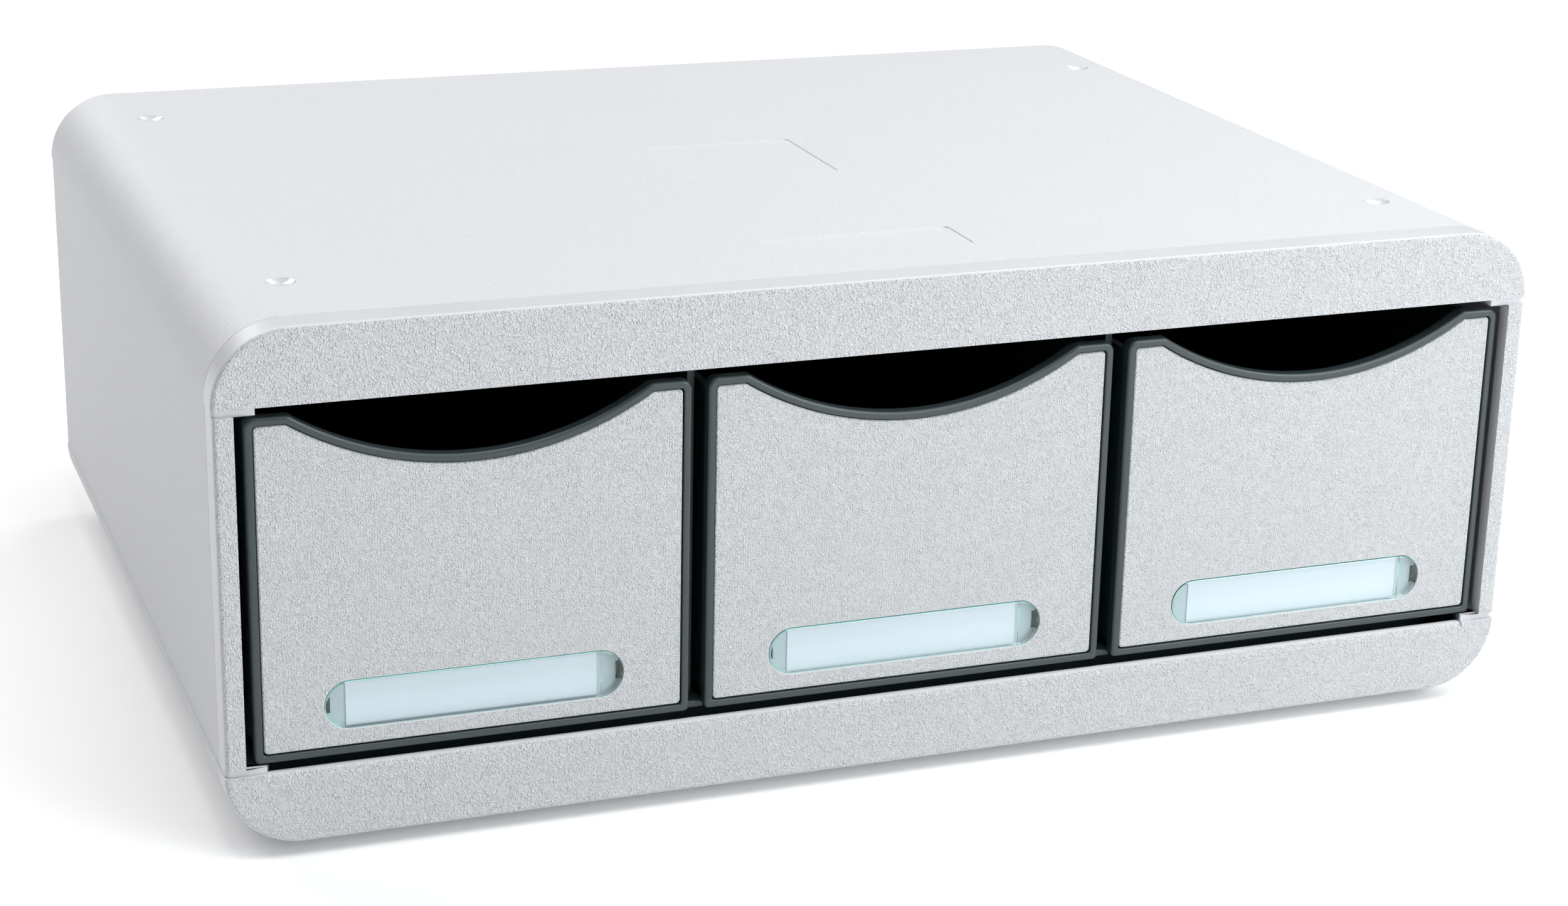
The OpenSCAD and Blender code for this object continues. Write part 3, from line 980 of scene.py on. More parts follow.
@dataclass
class Casing:
    """The fixed outside of the module: two shells, two side panels and feet.

    Attributes:
        size: Its sizes.
        inside: The sizes of its ribs, bosses, lugs and guides.
        foot_places: Where the feet and the stacking recesses are.
        recess: Diameter and depth of a stacking recess.
        plaques: Width, depth and middle of each bare plaque on the top.
        plaque_corner: Radius of a plaque's corners.
        plaque_edge: Growth and depth of the rings of a plaque's edge.
    """

    size: CasingSize = field(default_factory=CasingSize)
    inside: InsideSize = field(default_factory=InsideSize)
    foot_places: tuple[tuple[float, float], ...] = (
        (-152.6, -95.5),
        (152.6, -95.5),
        (-152.6, 95.5),
        (152.6, 95.5),
    )
    recess: tuple[float, float] = (7.6, 1.3)
    plaques: tuple[tuple[float, float, float], ...] = ((43.6, 42.4, -1.2), (52.8, 18.2, -98.2))
    plaque_corner: float = 1.5
    plaque_edge: tuple[tuple[float, float], ...] = ((0.15, 0.0), (0.0, 0.1), (-0.05, 0.3))

    def build(self) -> list[bpy.types.Object]:
        """Builds the casing's shells, side panels and feet.

        Returns:
            The new pieces.
        """
        pieces = [self.shell("top_shell", top=True), self.shell("bottom_shell", top=False)]
        pieces += [self.side_panel("left", -1), self.side_panel("right", 1)]
        names = ("front_left", "front_right", "rear_left", "rear_right")
        pieces += [self.foot(name, *at) for name, at in zip(names, self.foot_places)]
        return pieces

    def arch(self, inset: float, top: bool) -> Outline:
        """Lists a shell's outline from its left seam over to its right seam.

        Args:
            inset: How far the outline is drawn in.
            top: Whether it is the top shell.

        Returns:
            The points.
        """
        s = self.size
        middle = s.width / 2 - s.shell
        radius = s.shell - inset
        points = arc((-middle, 0), radius, 180, 90, 20) + arc((middle, 0), radius, 90, 0, 20)
        if top:
            return [(x, s.high_seam + z) for x, z in points]
        return [(x, s.low_seam - z) for x, z in points]

    def shell(self, name: str, top: bool) -> bpy.types.Object:
        """Builds one of the two shells.

        Args:
            name: The CAD node that it stands for.
            top: Whether it is the top shell.

        Returns:
            The shell.
        """
        s = self.size
        draft = Draft()
        front, rear = -s.depth / 2, s.depth / 2
        rings = [draft.ring(self.arch(inset, top), y) for inset, y in s.skin(0, front)]
        draft.loft(rings[: EDGE_END + 1], SkinSlot.GRAIN, closed=False)
        draft.loft(rings[EDGE_END : BAND_END + 1], SkinSlot.SMOOTH, closed=False)
        skins = rings[BAND_END:]
        middle = len(skins[0]) // 2 - 1
        left, right, flat = slice(middle + 1), slice(middle + 1, None), slice(middle, middle + 2)
        for part, span in ((skins, left), (skins, right), (skins[:2], flat), (skins[2:], flat)):
            draft.loft([ring[span] for ring in part], SkinSlot.FINE, closed=False)
        region = skins[1][flat] + skins[2][flat][::-1]
        draft.fill([region] + (self.top_details(draft) if top else []), SkinSlot.FINE)
        draft.face(rings[-1], SkinSlot.FINE)
        inner = [draft.ring(self.arch(s.wall, top), y) for y in (front + s.wall, rear - s.wall)]
        draft.loft(inner, SkinSlot.SMOOTH, closed=False)
        for wall in inner:
            draft.face(wall, SkinSlot.SMOOTH)
        for end in (0, -1):
            seam = [ring[end] for ring in rings] + [inner[1][end], inner[0][end]]
            draft.face(seam, SkinSlot.SMOOTH)
        draft.face([rings[-1][0], rings[-1][-1], inner[1][-1], inner[1][0]], SkinSlot.SMOOTH)
        if top:
            draft.face(rings[0], SkinSlot.GRAIN)
            draft.face([rings[0][0], rings[0][-1], inner[0][-1], inner[0][0]], SkinSlot.SMOOTH)
        else:
            self.rounded_lip(draft, rings[0], inner[0])
        self.ribs(draft, top)
        finishes = [Finish.FRONT_GRAIN, Finish.CASING_SMOOTH, Finish.FINE_GRAIN]
        finishes += [Finish.CASING_GLOSS] if top else []
        piece = draft.build(name, finishes, bevel=0.25)
        return self.place(piece, name, "casing_plastic")

    def rounded_lip(self, draft: Draft, face: Ring, wall: Ring) -> None:
        """Closes the bottom shell's front with a lip that is rounded between the rails.

        Args:
            draft: The shell's mesh.
            face: The outline of the front face, from its left seam round to its right one.
            wall: The outline of the inner face behind it.
        """
        s = self.size
        reach, front, seam = s.width / 2 - s.rail_reach, -s.depth / 2, s.low_seam
        rows = [
            draft.ring([(-reach, seam - drop), (reach, seam - drop)], front + back)
            for drop, back in rounding(s.lip_round)
        ]
        left, right = draft.ring([(-reach, seam), (reach, seam)], front)
        draft.face([*face, right, rows[0][1], rows[0][0], left], SkinSlot.GRAIN)
        draft.loft(rows, SkinSlot.GRAIN, closed=False)
        draft.face([left, *(row[0] for row in rows)], SkinSlot.GRAIN)
        draft.face([right, *(row[1] for row in rows)], SkinSlot.GRAIN)
        ledge = [face[0], left, rows[-1][0], rows[-1][1], right, face[-1], wall[-1], wall[0]]
        draft.face(ledge, SkinSlot.SMOOTH)

    def top_details(self, draft: Draft) -> list[Ring]:
        """Adds the stacking recesses and the bare plaques to the top shell.

        Args:
            draft: The top shell's mesh.

        Returns:
            The loops that they cut out of the flat top.
        """
        top = self.size.foot + self.size.height
        diameter, depth = self.recess
        radius = (diameter**2 / 4 + depth**2) / (2 * depth)
        loops = []
        # The last ring stays off the pole, so that the face in it isn't a point.
        steps, nearly_whole = 5, 0.97
        for place in self.foot_places:
            rings = []
            for i in range(steps + 1):
                reach = diameter / 2 * math.cos(math.radians(90 * i / steps * nearly_whole))
                drop = math.sqrt(radius**2 - reach**2) - (radius - depth)
                rings.append(draft.level(circle(place, reach, 36), top - drop))
            draft.loft(rings, SkinSlot.GLOSS)
            draft.face(rings[-1], SkinSlot.GLOSS)
            loops.append(rings[0])
        for width, length, y in self.plaques:
            rings = []
            for grow, drop in self.plaque_edge:
                corner = self.plaque_corner + grow / 2
                outline = rounded_rectangle(width + grow, length + grow, corner, (0, y))
                rings.append(draft.level(outline, top - drop))
            draft.loft(rings, SkinSlot.SMOOTH)
            draft.fill([rings[-1]], SkinSlot.FINE)
            loops.append(rings[0])
        return loops

    def ribs(self, draft: Draft, top: bool) -> None:
        """Adds the stiffening ribs and the bosses inside a shell.

        Args:
            draft: The shell's mesh.
            top: Whether it is the top shell.
        """
        s, inside = self.size, self.inside
        seam, out = (s.high_seam, 1) if top else (s.low_seam, -1)
        start = seam + out * (inside.headroom if top else 0.0)
        ceiling = seam + out * (s.shell - s.wall + inside.root)
        low, high = min(start, ceiling), max(start, ceiling)
        half, reach, wide = inside.rib, inside.rib_reach, 2 * inside.pitch
        for i in range(-2, 3):
            x = i * inside.pitch
            draft.box((x - half, -reach, low), (x + half, reach, high), SkinSlot.SMOOTH)
        low += inside.step
        for y in inside.rows:
            draft.box((-wide, y - half, low), (wide, y + half, high), SkinSlot.SMOOTH)
        corner_x, corner_y, tall = inside.corner_boss
        inner_y = inside.inner_rows[0 if top else 1]
        for x, y, tip in (
            (corner_x, corner_y, seam + out * tall), (inside.pitch, inner_y, ceiling)
        ):  # fmt: skip
            for at in ((x, y), (-x, y), (x, -y), (-x, -y)):
                levels = (seam, tip, seam + out * inside.bore)
                draft.tube(at, inside.boss, levels, SkinSlot.SMOOTH)
        if not top:
            levels = tuple(s.foot + z for z in inside.foot_levels)
            for at in self.foot_places:
                draft.tube(at, inside.foot_boss, levels, SkinSlot.SMOOTH)

    def side_panel(self, side: str, sign: int) -> bpy.types.Object:
        """Builds a side panel with its front strip, rear return and rails.

        Args:
            side: left or right.
            sign: -1 for the left panel and 1 for the right one.

        Returns:
            The panel.
        """
        s = self.size
        name = f"{side}_side_panel"
        draft = Draft()
        front_end = -s.depth / 2
        strip_end = front_end + s.strip_depth
        notch = front_end + s.rail_setback + s.rail_end

        def plan(setback: float, reach: float, inner: float) -> Outline:
            """Lists the panel's outline in X and Y.

            Args:
                setback: How far its front stands back from the casing's.
                reach: How far its front return reaches in.
                inner: Rear face of that return.

            Returns:
                The points.
            """
            front, rear = front_end + setback, s.depth / 2
            depths = [(reach, front), *s.skin(s.panel_inset, front)]
            depths += [(s.strip, rear), (s.strip, rear - s.wall), (s.wall, rear - s.wall)]
            depths += [(s.wall, inner), (reach, inner)]
            return [(sign * (s.width / 2 - inward), y) for inward, y in depths]

        low, high = s.low_seam, s.high_seam
        low_rail = (s.rail_setback, s.rail_reach, notch)
        high_rail = (s.rail_setback, s.rail_reach, strip_end)
        strip = (0.0, s.strip, strip_end)
        levels = [
            (low_rail, low), (low_rail, low + s.rail), (strip, low + s.rail),
            (strip, high - s.rail), (high_rail, high - s.rail), (high_rail, high),
        ]  # fmt: skip
        rings = [draft.level(plan(*shape), z) for shape, z in levels]
        count = len(rings[0])
        # The last five points of the outline are the panel's inner side.
        inner_side = count - 5
        for i in range(1, count + 1):
            columns = [[ring[i % count], ring[(i + 1) % count]] for ring in rings]
            side = SkinSlot.FINE if BAND_END < i < inner_side else SkinSlot.SMOOTH
            middle = SkinSlot.GRAIN if i <= EDGE_END or i == count else side
            for slot, part in ((side, columns[:3]), (middle, columns[2:4]), (side, columns[3:])):
                draft.loft(part, slot, closed=False)
        draft.face(rings[0], SkinSlot.SMOOTH)
        draft.face(rings[-1], SkinSlot.SMOOTH)
        # The rails' long parts run into the wall and the ends, a little thinner than them.
        lap, sunk, shy = 0.2, 0.3, 0.02
        rear = s.depth / 2 - s.wall - s.rail_gap
        rails = (
            (s.rail_reach, s.notch_end, rear, low),
            (s.strip, notch - lap, s.notch_end + lap, low),
            (s.rail_reach, strip_end - lap, rear, high - s.rail),
        )
        for reach, start, end, z in rails:
            xs = sorted(sign * (s.width / 2 - inward) for inward in (reach, s.wall - sunk))
            corner = (xs[1], end, z + s.rail - shy)
            draft.box((xs[0], start, z + shy), corner, SkinSlot.SMOOTH)
        self.panel_stops(draft, sign)
        finishes = [Finish.FRONT_GRAIN, Finish.CASING_SMOOTH, Finish.FINE_GRAIN]
        piece = draft.build(name, finishes, bevel=0.2, limit=70)
        return self.place(piece, name, "casing_plastic")

    def panel_stops(self, draft: Draft, sign: int) -> None:
        """Adds the stop lug and the drawer guide to a side panel.

        Args:
            draft: The panel's mesh.
            sign: -1 for the left panel and 1 for the right one.
        """
        s, inside = self.size, self.inside
        front, rear, low = inside.lug
        x = sorted(sign * (s.width / 2 - inward) for inward in (s.rail_reach, inside.lug_start))
        high = s.high_seam - inside.lug_gap
        draft.box((x[0], front, low), (x[1], rear, high), SkinSlot.SMOOTH)
        near, far, front, rear, high = inside.guide
        x = sorted((sign * near, sign * far))
        low = s.low_seam + inside.lug_gap
        draft.box((x[0], front, low), (x[1], rear, high), SkinSlot.SMOOTH)

    def foot(self, name: str, x: float, y: float) -> bpy.types.Object:
        """Builds one foot: a low cone with a rounded tip and a fine ring near its base.

        Args:
            name: Where it is, such as front_left.
            x: Its place across the width.
            y: Its place along the depth.

        Returns:
            The foot.
        """
        draft = Draft()
        profile = [
            (1.4, 0.15), (2.4, 0.0), (2.8, 0.07), (3.2, 0.35), (3.4, 0.9), (4.6, 1.5), (5.8, 2.1),
            (6.0, 2.3), (6.0, 2.9), (5.85, 3.0), (5.85, 3.15), (6.0, 3.25), (6.0, 4.0),
        ]  # fmt: skip
        draft.close([draft.level(circle((x, y), radius, 36), z) for radius, z in profile])
        piece = draft.build(f"foot_{name}", [Finish.RUBBER])
        return self.place(piece, f"foot_{name}", "foot_rubber")

    @staticmethod
    def place(piece: bpy.types.Object, node: str, slot: str) -> bpy.types.Object:
        """Fixes a piece to the casing in place of its CAD node.

        Args:
            piece: The new piece.
            node: The node that it stands for.
            slot: The name of a material slot. Not used.

        Returns:
            The same piece.
        """
        piece.name = f"{node}_moulding"
        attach(piece, "casing")
        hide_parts(node)
        return piece


# ---------- drawers ----------


@dataclass(frozen=True)
class DrawerSize:
    """A drawer's sizes in millimetres.

    Attributes:
        pitch: Distance between the middles of neighbouring drawers.
        width: Width of the front rim.
        low: Height of the rim's lower edge.
        high: Height of the rim's ears.
        front: Front face of the rim.
        rim_back: Rear face of the rim.
        body: How far the tray stands inside the rim.
        seat: Front face of the wall that carries the plate.
        wall_back: Rear face of that wall.
        rear: Rear face of the tray.
        band: Width of the rim round the plate.
        groove: Gap between the rim and the plate.
        plate: Thickness of the plate.
        corner_top: Rounding of the ears.
        corner_low: Rounding of the lower corners.
        corner_least: The least rounding of an inner corner.
        scoop: Depth of the finger scoop.
        scoop_radius: Its radius at the rim.
        tray_wall: Wall thickness of the tray.
        label_length: Length of the label's opening.
        label_height: Height of that opening.
        label_rise: Height of its middle above the rim's lower edge.
        card_length: Length of the card's recess.
        card_play: How much shorter the card is.
        pocket: Floor of the plate's pocket.
        tub_back: Rear face of that floor.
        slot_x: Middle of the hooks at the pocket's ends.
        notch_x: How far the notches beside the hooks reach.
        notch_half: Half the height of a notch.
        notch_skin: Thickness of the plate in front of a notch.
        rim_edges: Rounding of the rim's outer and inner edge.
        plate_edge: Rounding of the plate's edge.
    """

    pitch: float = 114.6
    width: float = 110.4
    low: float = 25.2
    high: float = 113.1
    front: float = -133.6
    rim_back: float = -130.6
    body: float = 1.0
    seat: float = -131.0
    wall_back: float = -128.0
    rear: float = 127.0
    band: float = 2.0
    groove: float = 0.3
    plate: float = 2.3
    corner_top: float = 2.5
    corner_low: float = 1.2
    corner_least: float = 1.0
    scoop: float = 13.4
    scoop_radius: float = 81.0
    tray_wall: float = 1.8
    label_length: float = 76.0
    label_height: float = 12.8
    label_rise: float = 12.9
    card_length: float = 64.8
    card_play: float = 1.1
    pocket: float = -130.1
    tub_back: float = -129.1
    slot_x: float = 36.9
    notch_x: float = 38.6
    notch_half: float = 2.4
    notch_skin: float = 1.2
    rim_edges: tuple[float, float] = (0.8, 0.3)
    plate_edge: float = 0.45

    @property
    def label_z(self) -> float:
        """Height of the label's middle."""
        return self.low + self.label_rise


@dataclass(frozen=True)
class TroughSize:
    """The sizes in millimetres of the tray behind its rim.

    Attributes:
        rise: How far its underside is above the rim's lower edge.
        drop: How far its walls end below the rim's ears.
        corners: Rounding of its lower corners, outside and inside.
        cutout: How much lower its rear wall is.
        ear: Length of a stop ear, and how far it stands above the rim's ears.
        ear_inset: How far an ear stands inside the wall that carries it.
        skid: Distance of a skid from the middle, half its width, and its gap at the rear.
        laps: How far the walls run into the front and into the rear wall.
        root: How far ears and skids run into the walls.
    """

    rise: float = 0.6
    drop: float = 3.6
    corners: tuple[float, float] = (2.5, 1.2)
    cutout: float = 4.0
    ear: tuple[float, float] = (7.0, 0.2)
    ear_inset: float = 0.03
    skid: tuple[float, float, float] = (46.0, 1.5, 2.5)
    laps: tuple[float, float] = (0.01, 0.05)
    root: float = 0.5


@dataclass(frozen=True)
class LabelSize:
    """The sizes in millimetres of the label's holder, window and card.

    Attributes:
        opening_edge: Rounding of the opening's edge.
        corner_play: How much longer the window's recess is than the card's, at each end.
        tubs: How far the plate's tub, and the tray's opening for it, reach round the label.
        tub_play: Gap behind the tub.
        slot_sides: Near side, shoulder and far side of a hook's opening, from its middle.
        slot_heights: Half its height at the near and the far side.
        slot_insets: How much smaller the tray's opening is, in the plate's floor and behind it.
        window_play: Gap round the window and behind it.
        window_edge: Rounding of the window's front edge.
        window_rise: How far it stands out of the plate.
        window_recess: How far its back is in front of the pocket's floor, over the card.
        hook: Width, height and length of a hook.
        card_margin: How much less high the card is than the opening.
        card_gap: How far its front is before the pocket's floor.
        card_bow: How far its middle bows back.
        card: Its thickness.
    """

    opening_edge: float = 0.15
    corner_play: float = 0.1
    tubs: tuple[float, float] = (1.2, 1.4)
    tub_play: float = 0.1
    slot_sides: tuple[float, float, float] = (-0.7, 0.55, 1.6)
    slot_heights: tuple[float, float] = (2.4, 1.9)
    slot_insets: tuple[float, float] = (0.05, 0.15)
    window_play: float = 0.1
    window_edge: float = 0.55
    window_rise: float = 0.2
    window_recess: float = 0.4
    hook: tuple[float, float, float] = (1.0, 4.4, 0.8)
    card_margin: float = 0.8
    card_gap: float = 0.35
    card_bow: float = 0.04
    card: float = 0.2


@dataclass
class Drawer:
    """One drawer: its tray with the dark rim, front plate, label window and card.

    Attributes:
        side: left, middle or right.
        place: -1, 0 or 1 from left to right.
        size: Its sizes.
        body_size: The sizes of its tray behind the rim.
        label: The sizes of the label's holder, window and card.
    """

    side: str
    place: int
    size: DrawerSize = field(default_factory=DrawerSize)
    body_size: TroughSize = field(default_factory=TroughSize)
    label: LabelSize = field(default_factory=LabelSize)

    def build(self) -> list[bpy.types.Object]:
        """Builds the drawer's pieces.

        Returns:
            The new pieces.
        """
        return [self.tray(), self.front_plate(), self.label_window(), self.label_card()]

    def draft(self) -> Draft:
        """Starts a mesh at the drawer's place across the casing."""
        return Draft(self.place * self.size.pitch)

    def label_outline(self, grow: float) -> Outline:
        """Lists the label opening's outline.

        Args:
            grow: How far the outline is moved out.

        Returns:
            The points.
        """
        s = self.size
        length, height = s.label_length + 2 * grow, s.label_height + 2 * grow
        return stadium(length, height, s.label_z, s.card_length / 2 + self.label.corner_play)

    def front_outline(self, inset: float) -> Outline:
        """Lists the outline of the front, with its ears and finger scoop.

        Args:
            inset: How far the outline is drawn in from the rim's outer edge.

        Returns:
            The points, counter-clockwise from the lower left corner.
        """
        s = self.size
        half, low, high = s.width / 2 - inset, s.low + inset, s.high - inset
        r_low = max(s.corner_low - inset, s.corner_least)
        r_top = max(s.corner_top - inset, s.corner_least)
        scoop_z = s.high - s.scoop + s.scoop_radius
        radius = s.scoop_radius + inset
        round_z = high - r_top
        round_x = math.sqrt((radius + r_top) ** 2 - (scoop_z - round_z) ** 2)
        turn = math.degrees(math.atan2(scoop_z - round_z, -round_x))
        return (
            arc((-half + r_low, low + r_low), r_low, 180, 270, 5)
            + arc((half - r_low, low + r_low), r_low, 270, 360, 5)
            + arc((half - r_top, high - r_top), r_top, 0, 90, 8)
            + arc((round_x, round_z), r_top, 90, turn, 5)
            + arc((0, scoop_z), radius, turn - 180, -turn, 48)[1:-1]
            + arc((-round_x, round_z), r_top, 180 - turn, 90, 5)
            + arc((-half + r_top, high - r_top), r_top, 90, 180, 8)
        )

    def trough(self, width: float, low: float, high: float, radius: float) -> Outline:
        """Lists a U-shaped outline with rounded lower corners.

        Args:
            width: Its width.
            low: Its lowest height.
            high: The height of its open ends.
            radius: The corners' radius.

        Returns:
            The points from the left end round to the right end.
        """
        x = width / 2 - radius
        return [
            (-width / 2, high),
            *arc((-x, low + radius), radius, 180, 270, 6),
            *arc((x, low + radius), radius, 270, 360, 6),
            (width / 2, high),
        ]

    def tray(self) -> bpy.types.Object:
        """Builds the tray with its rim, walls, ears and skids.

        Returns:
            The tray.
        """
        s, label = self.size, self.label
        draft = self.draft()
        outer_edge, inner_edge = s.rim_edges
        outer = [draft.ring(self.front_outline(0), s.rim_back)]
        for inset, back in reversed(rounding(outer_edge, 4)):
            outer.append(draft.ring(self.front_outline(inset), s.front + back))
        for reach, back in rounding(inner_edge, 3):
            outer.append(draft.ring(self.front_outline(s.band - reach), s.front + back))
        outer.append(draft.ring(self.front_outline(s.band), s.seat))
        draft.loft(outer)
        floor = s.tub_back + label.tub_play
        tub = [draft.ring(self.label_outline(label.tubs[1]), y) for y in (s.seat, floor)]
        draft.fill([outer[-1], tub[0]])
        draft.loft(tub)
        back = [draft.ring(self.front_outline(s.body), y) for y in (s.wall_back, s.rim_back)]
        wide, narrow = label.slot_insets
        collar = ((wide, floor), (wide, s.pocket), (narrow, s.pocket), (narrow, s.wall_back))
        holes = [
            [draft.ring(self.hook_slot(sign, inset), y) for inset, y in collar] for sign in (-1, 1)
        ]
        for hole in holes:
            draft.loft(hole)
        draft.fill([tub[1], holes[0][0], holes[1][0]])
        draft.fill([back[0], holes[0][-1], holes[1][-1]])
        draft.loft([back[0], back[1], outer[0]])
        self.body(draft)
        piece = draft.build("tray", [Finish.CHASSIS_SMOOTH], bevel=0.3, limit=70)
        return self.place_piece(piece, "drawer_tray")

    def body(self, draft: Draft) -> None:
        """Adds the tray's trough, rear wall, ears and skids behind its front.

        Args:
            draft: The tray's mesh.
        """
        s, t = self.size, self.body_size
        width, low, high = s.width - 2 * s.body, s.low + t.rise, s.high - t.drop
        inner_width = width - 2 * s.tray_wall
        outside = self.trough(width, low, high, t.corners[0])
        inside = self.trough(inner_width, low + s.tray_wall, high, t.corners[1])
        section = outside + inside[::-1]
        ends = (s.wall_back - t.laps[0], s.rear - s.tray_wall + t.laps[1])
        draft.close([draft.ring(section, y) for y in ends])
        inner = inner_width / 2
        top = [(width / 2, high), (inner, high), (inner, high - t.cutout)]
        rear = outside[:-1] + top + [(-x, z) for x, z in reversed(top[1:])]
        draft.close([draft.ring(rear, y) for y in (s.rear - s.tray_wall, s.rear)])
        ear_length, ear_rise = t.ear
        skid_x, skid_half, skid_gap = t.skid
        for sign in (-1, 1):
            ear = sorted((sign * (inner + t.ear_inset), sign * (width / 2 - t.ear_inset)))
            draft.box(
                (ear[0], s.rear - ear_length, high - t.root),
                (ear[1], s.rear - t.ear_inset, s.high + ear_rise),
            )
            x = sign * skid_x
            draft.box(
                (x - skid_half, s.wall_back, s.low),
                (x + skid_half, s.rear - skid_gap, low + t.root),
            )

    def hook_slot(self, sign: int, inset: float = 0.0) -> Outline:
        """Lists the outline of the opening that one of the window's hooks goes through.

        Args:
            sign: -1 for the left end and 1 for the right one.
            inset: How far the outline is drawn in.

        Returns:
            The points.
        """
        s = self.size
        near, bend, far = self.label.slot_sides
        near, far = near + inset, far - inset
        high, low = (height - inset for height in self.label.slot_heights)
        steps = ((near, -high), (bend, -high), (far, -low), (far, low), (bend, high), (near, high))
        return [(sign * (s.slot_x + x), s.label_z + z) for x, z in steps]

    def front_plate(self) -> bpy.types.Object:
        """Builds the grained plate with its pocket for the label.

        Returns:
            The plate.
        """
        s, label = self.size, self.label
        draft = self.draft()
        face = s.seat - s.plate
        inset = s.band + s.groove
        sides = [draft.ring(self.front_outline(inset), s.seat)]
        for reach, back in reversed(rounding(s.plate_edge, 4)):
            sides.append(draft.ring(self.front_outline(inset + reach), face + back))
        draft.loft(sides)
        lip = [
            draft.ring(self.label_outline(reach), face + back)
            for reach, back in rounding(label.opening_edge, 3)
        ]
        notched = [
            (math.copysign(s.notch_x, x), z)
            if abs(x) > s.slot_x and abs(z - s.label_z) < s.notch_half
            else (x, z)
            for x, z in self.label_outline(0)
        ]
        under = face + s.notch_skin
        pocket = lip + [draft.ring(self.label_outline(0), under)]
        pocket += [draft.ring(notched, y) for y in (under, s.pocket)]
        draft.fill([sides[-1], lip[0]], PlateSlot.GRAIN)
        draft.loft(pocket[:-1], PlateSlot.SMOOTH)
        # The notches' outer walls get a painted shade in place of the plate's light plastic.
        for i, (x, _) in enumerate(notched):
            slot = PlateSlot.GAP if abs(x) == s.notch_x else PlateSlot.SMOOTH
            draft.loft([[ring[i - 1], ring[i]] for ring in pocket[-2:]], slot, closed=False)
        slots = [
            [draft.ring(self.hook_slot(sign), y) for y in (s.pocket, s.tub_back)]
            for sign in (-1, 1)
        ]
        for pair in slots:
            draft.loft(pair, PlateSlot.SMOOTH)
        draft.fill([pocket[-1], slots[0][0], slots[1][0]], PlateSlot.SMOOTH)
        tub = [draft.ring(self.label_outline(label.tubs[0]), y) for y in (s.seat, s.tub_back)]
        draft.loft(tub, PlateSlot.SMOOTH)
        draft.fill([tub[1], slots[0][1], slots[1][1]], PlateSlot.SMOOTH)
        draft.fill([sides[0], tub[0]], PlateSlot.SMOOTH)
        finishes = [Finish.FRONT_GRAIN, Finish.CASING_SMOOTH, Finish.GAP_SHADE]
        piece = draft.build("plate", finishes)
        return self.place_piece(piece, "front_plate")

    def label_window(self) -> bpy.types.Object:
        """Builds the clear window: thinner over the card, with a hook behind each end.

        Returns:
            The window.
        """
        s, label = self.size, self.label
        draft = self.draft()
        face = s.seat - s.plate - label.window_rise
        back, recess = s.pocket - label.window_play, s.pocket - label.window_recess
        rings = [
            draft.ring(self.label_outline(-label.window_play - reach), face + deep)
            for reach, deep in rounding(label.window_edge, 4)
        ]
        rings.append(draft.ring(self.label_outline(-label.window_play), recess))
        draft.loft(rings)
        draft.face(rings[0])
        edge = rings[-1]
        half = len(edge) // 2
        hook_width, hook_height, hook_length = label.hook
        for start, sign in ((0, 1), (half, -1)):
            end = edge[start + 1 : start + half - 1]
            outline = [(v.co.x - self.place * s.pitch, v.co.z) for v in end]
            cap = draft.ring(outline, back)
            draft.loft([end, cap], closed=False)
            draft.face([end[0], end[-1], cap[-1], cap[0]])
            shape = rectangle(hook_width, hook_height, (sign * s.slot_x, s.label_z))
            hook = [draft.ring(shape, y) for y in (back, back + hook_length)]
            draft.fill([cap, hook[0]])
            draft.loft(hook)
            draft.face(hook[1])
        ends = (0, 1, half - 2, half - 1, half, half + 1, -2, -1)
        draft.face([edge[i] for i in ends])
        piece = draft.build("window", [Finish.CLEAR])
        return self.place_piece(piece, "label_window")

    def label_card(self) -> bpy.types.Object:
        """Builds the blank card: very slightly bowed, and pushed to the left of its recess.

        Returns:
            The card.
        """
        s, label = self.size, self.label
        draft = self.draft()
        steps = 12
        half, height = s.card_length / 2, s.label_height - label.card_margin
        near = s.pocket - label.card_gap
        front, back = [], []
        for i in range(steps + 1):
            x = (2 * half - s.card_play) * i / steps - half
            bow = label.card_bow * (1 - (x / half) ** 2)
            ends = [(x, s.label_z - height / 2), (x, s.label_z + height / 2)]
            front.append(draft.ring(ends, near + bow))
            back.append(draft.ring(ends, near + label.card + bow))
        draft.loft(front, closed=False)
        draft.loft(back, closed=False)
        for k in (0, 1):
            draft.loft([[a[k], b[k]] for a, b in zip(front, back)], closed=False)
        for end in (0, -1):
            draft.face([front[end][0], front[end][1], back[end][1], back[end][0]])
        piece = draft.build("card", [Finish.CARD])
        return self.place_piece(piece, "label_card")

    def place_piece(self, piece: bpy.types.Object, node: str) -> bpy.types.Object:
        """Fixes a piece to the drawer in place of its CAD node.

        Args:
            piece: The new piece.
            node: The node that it stands for, without the drawer's side.

        Returns:
            The same piece.
        """
        piece.name = f"{self.side}_{node}_moulding"
        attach(piece, f"{self.side}_drawer")
        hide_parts(f"{self.side}_{node}")
        return piece


# ---------- carried-over nodes and studio ----------


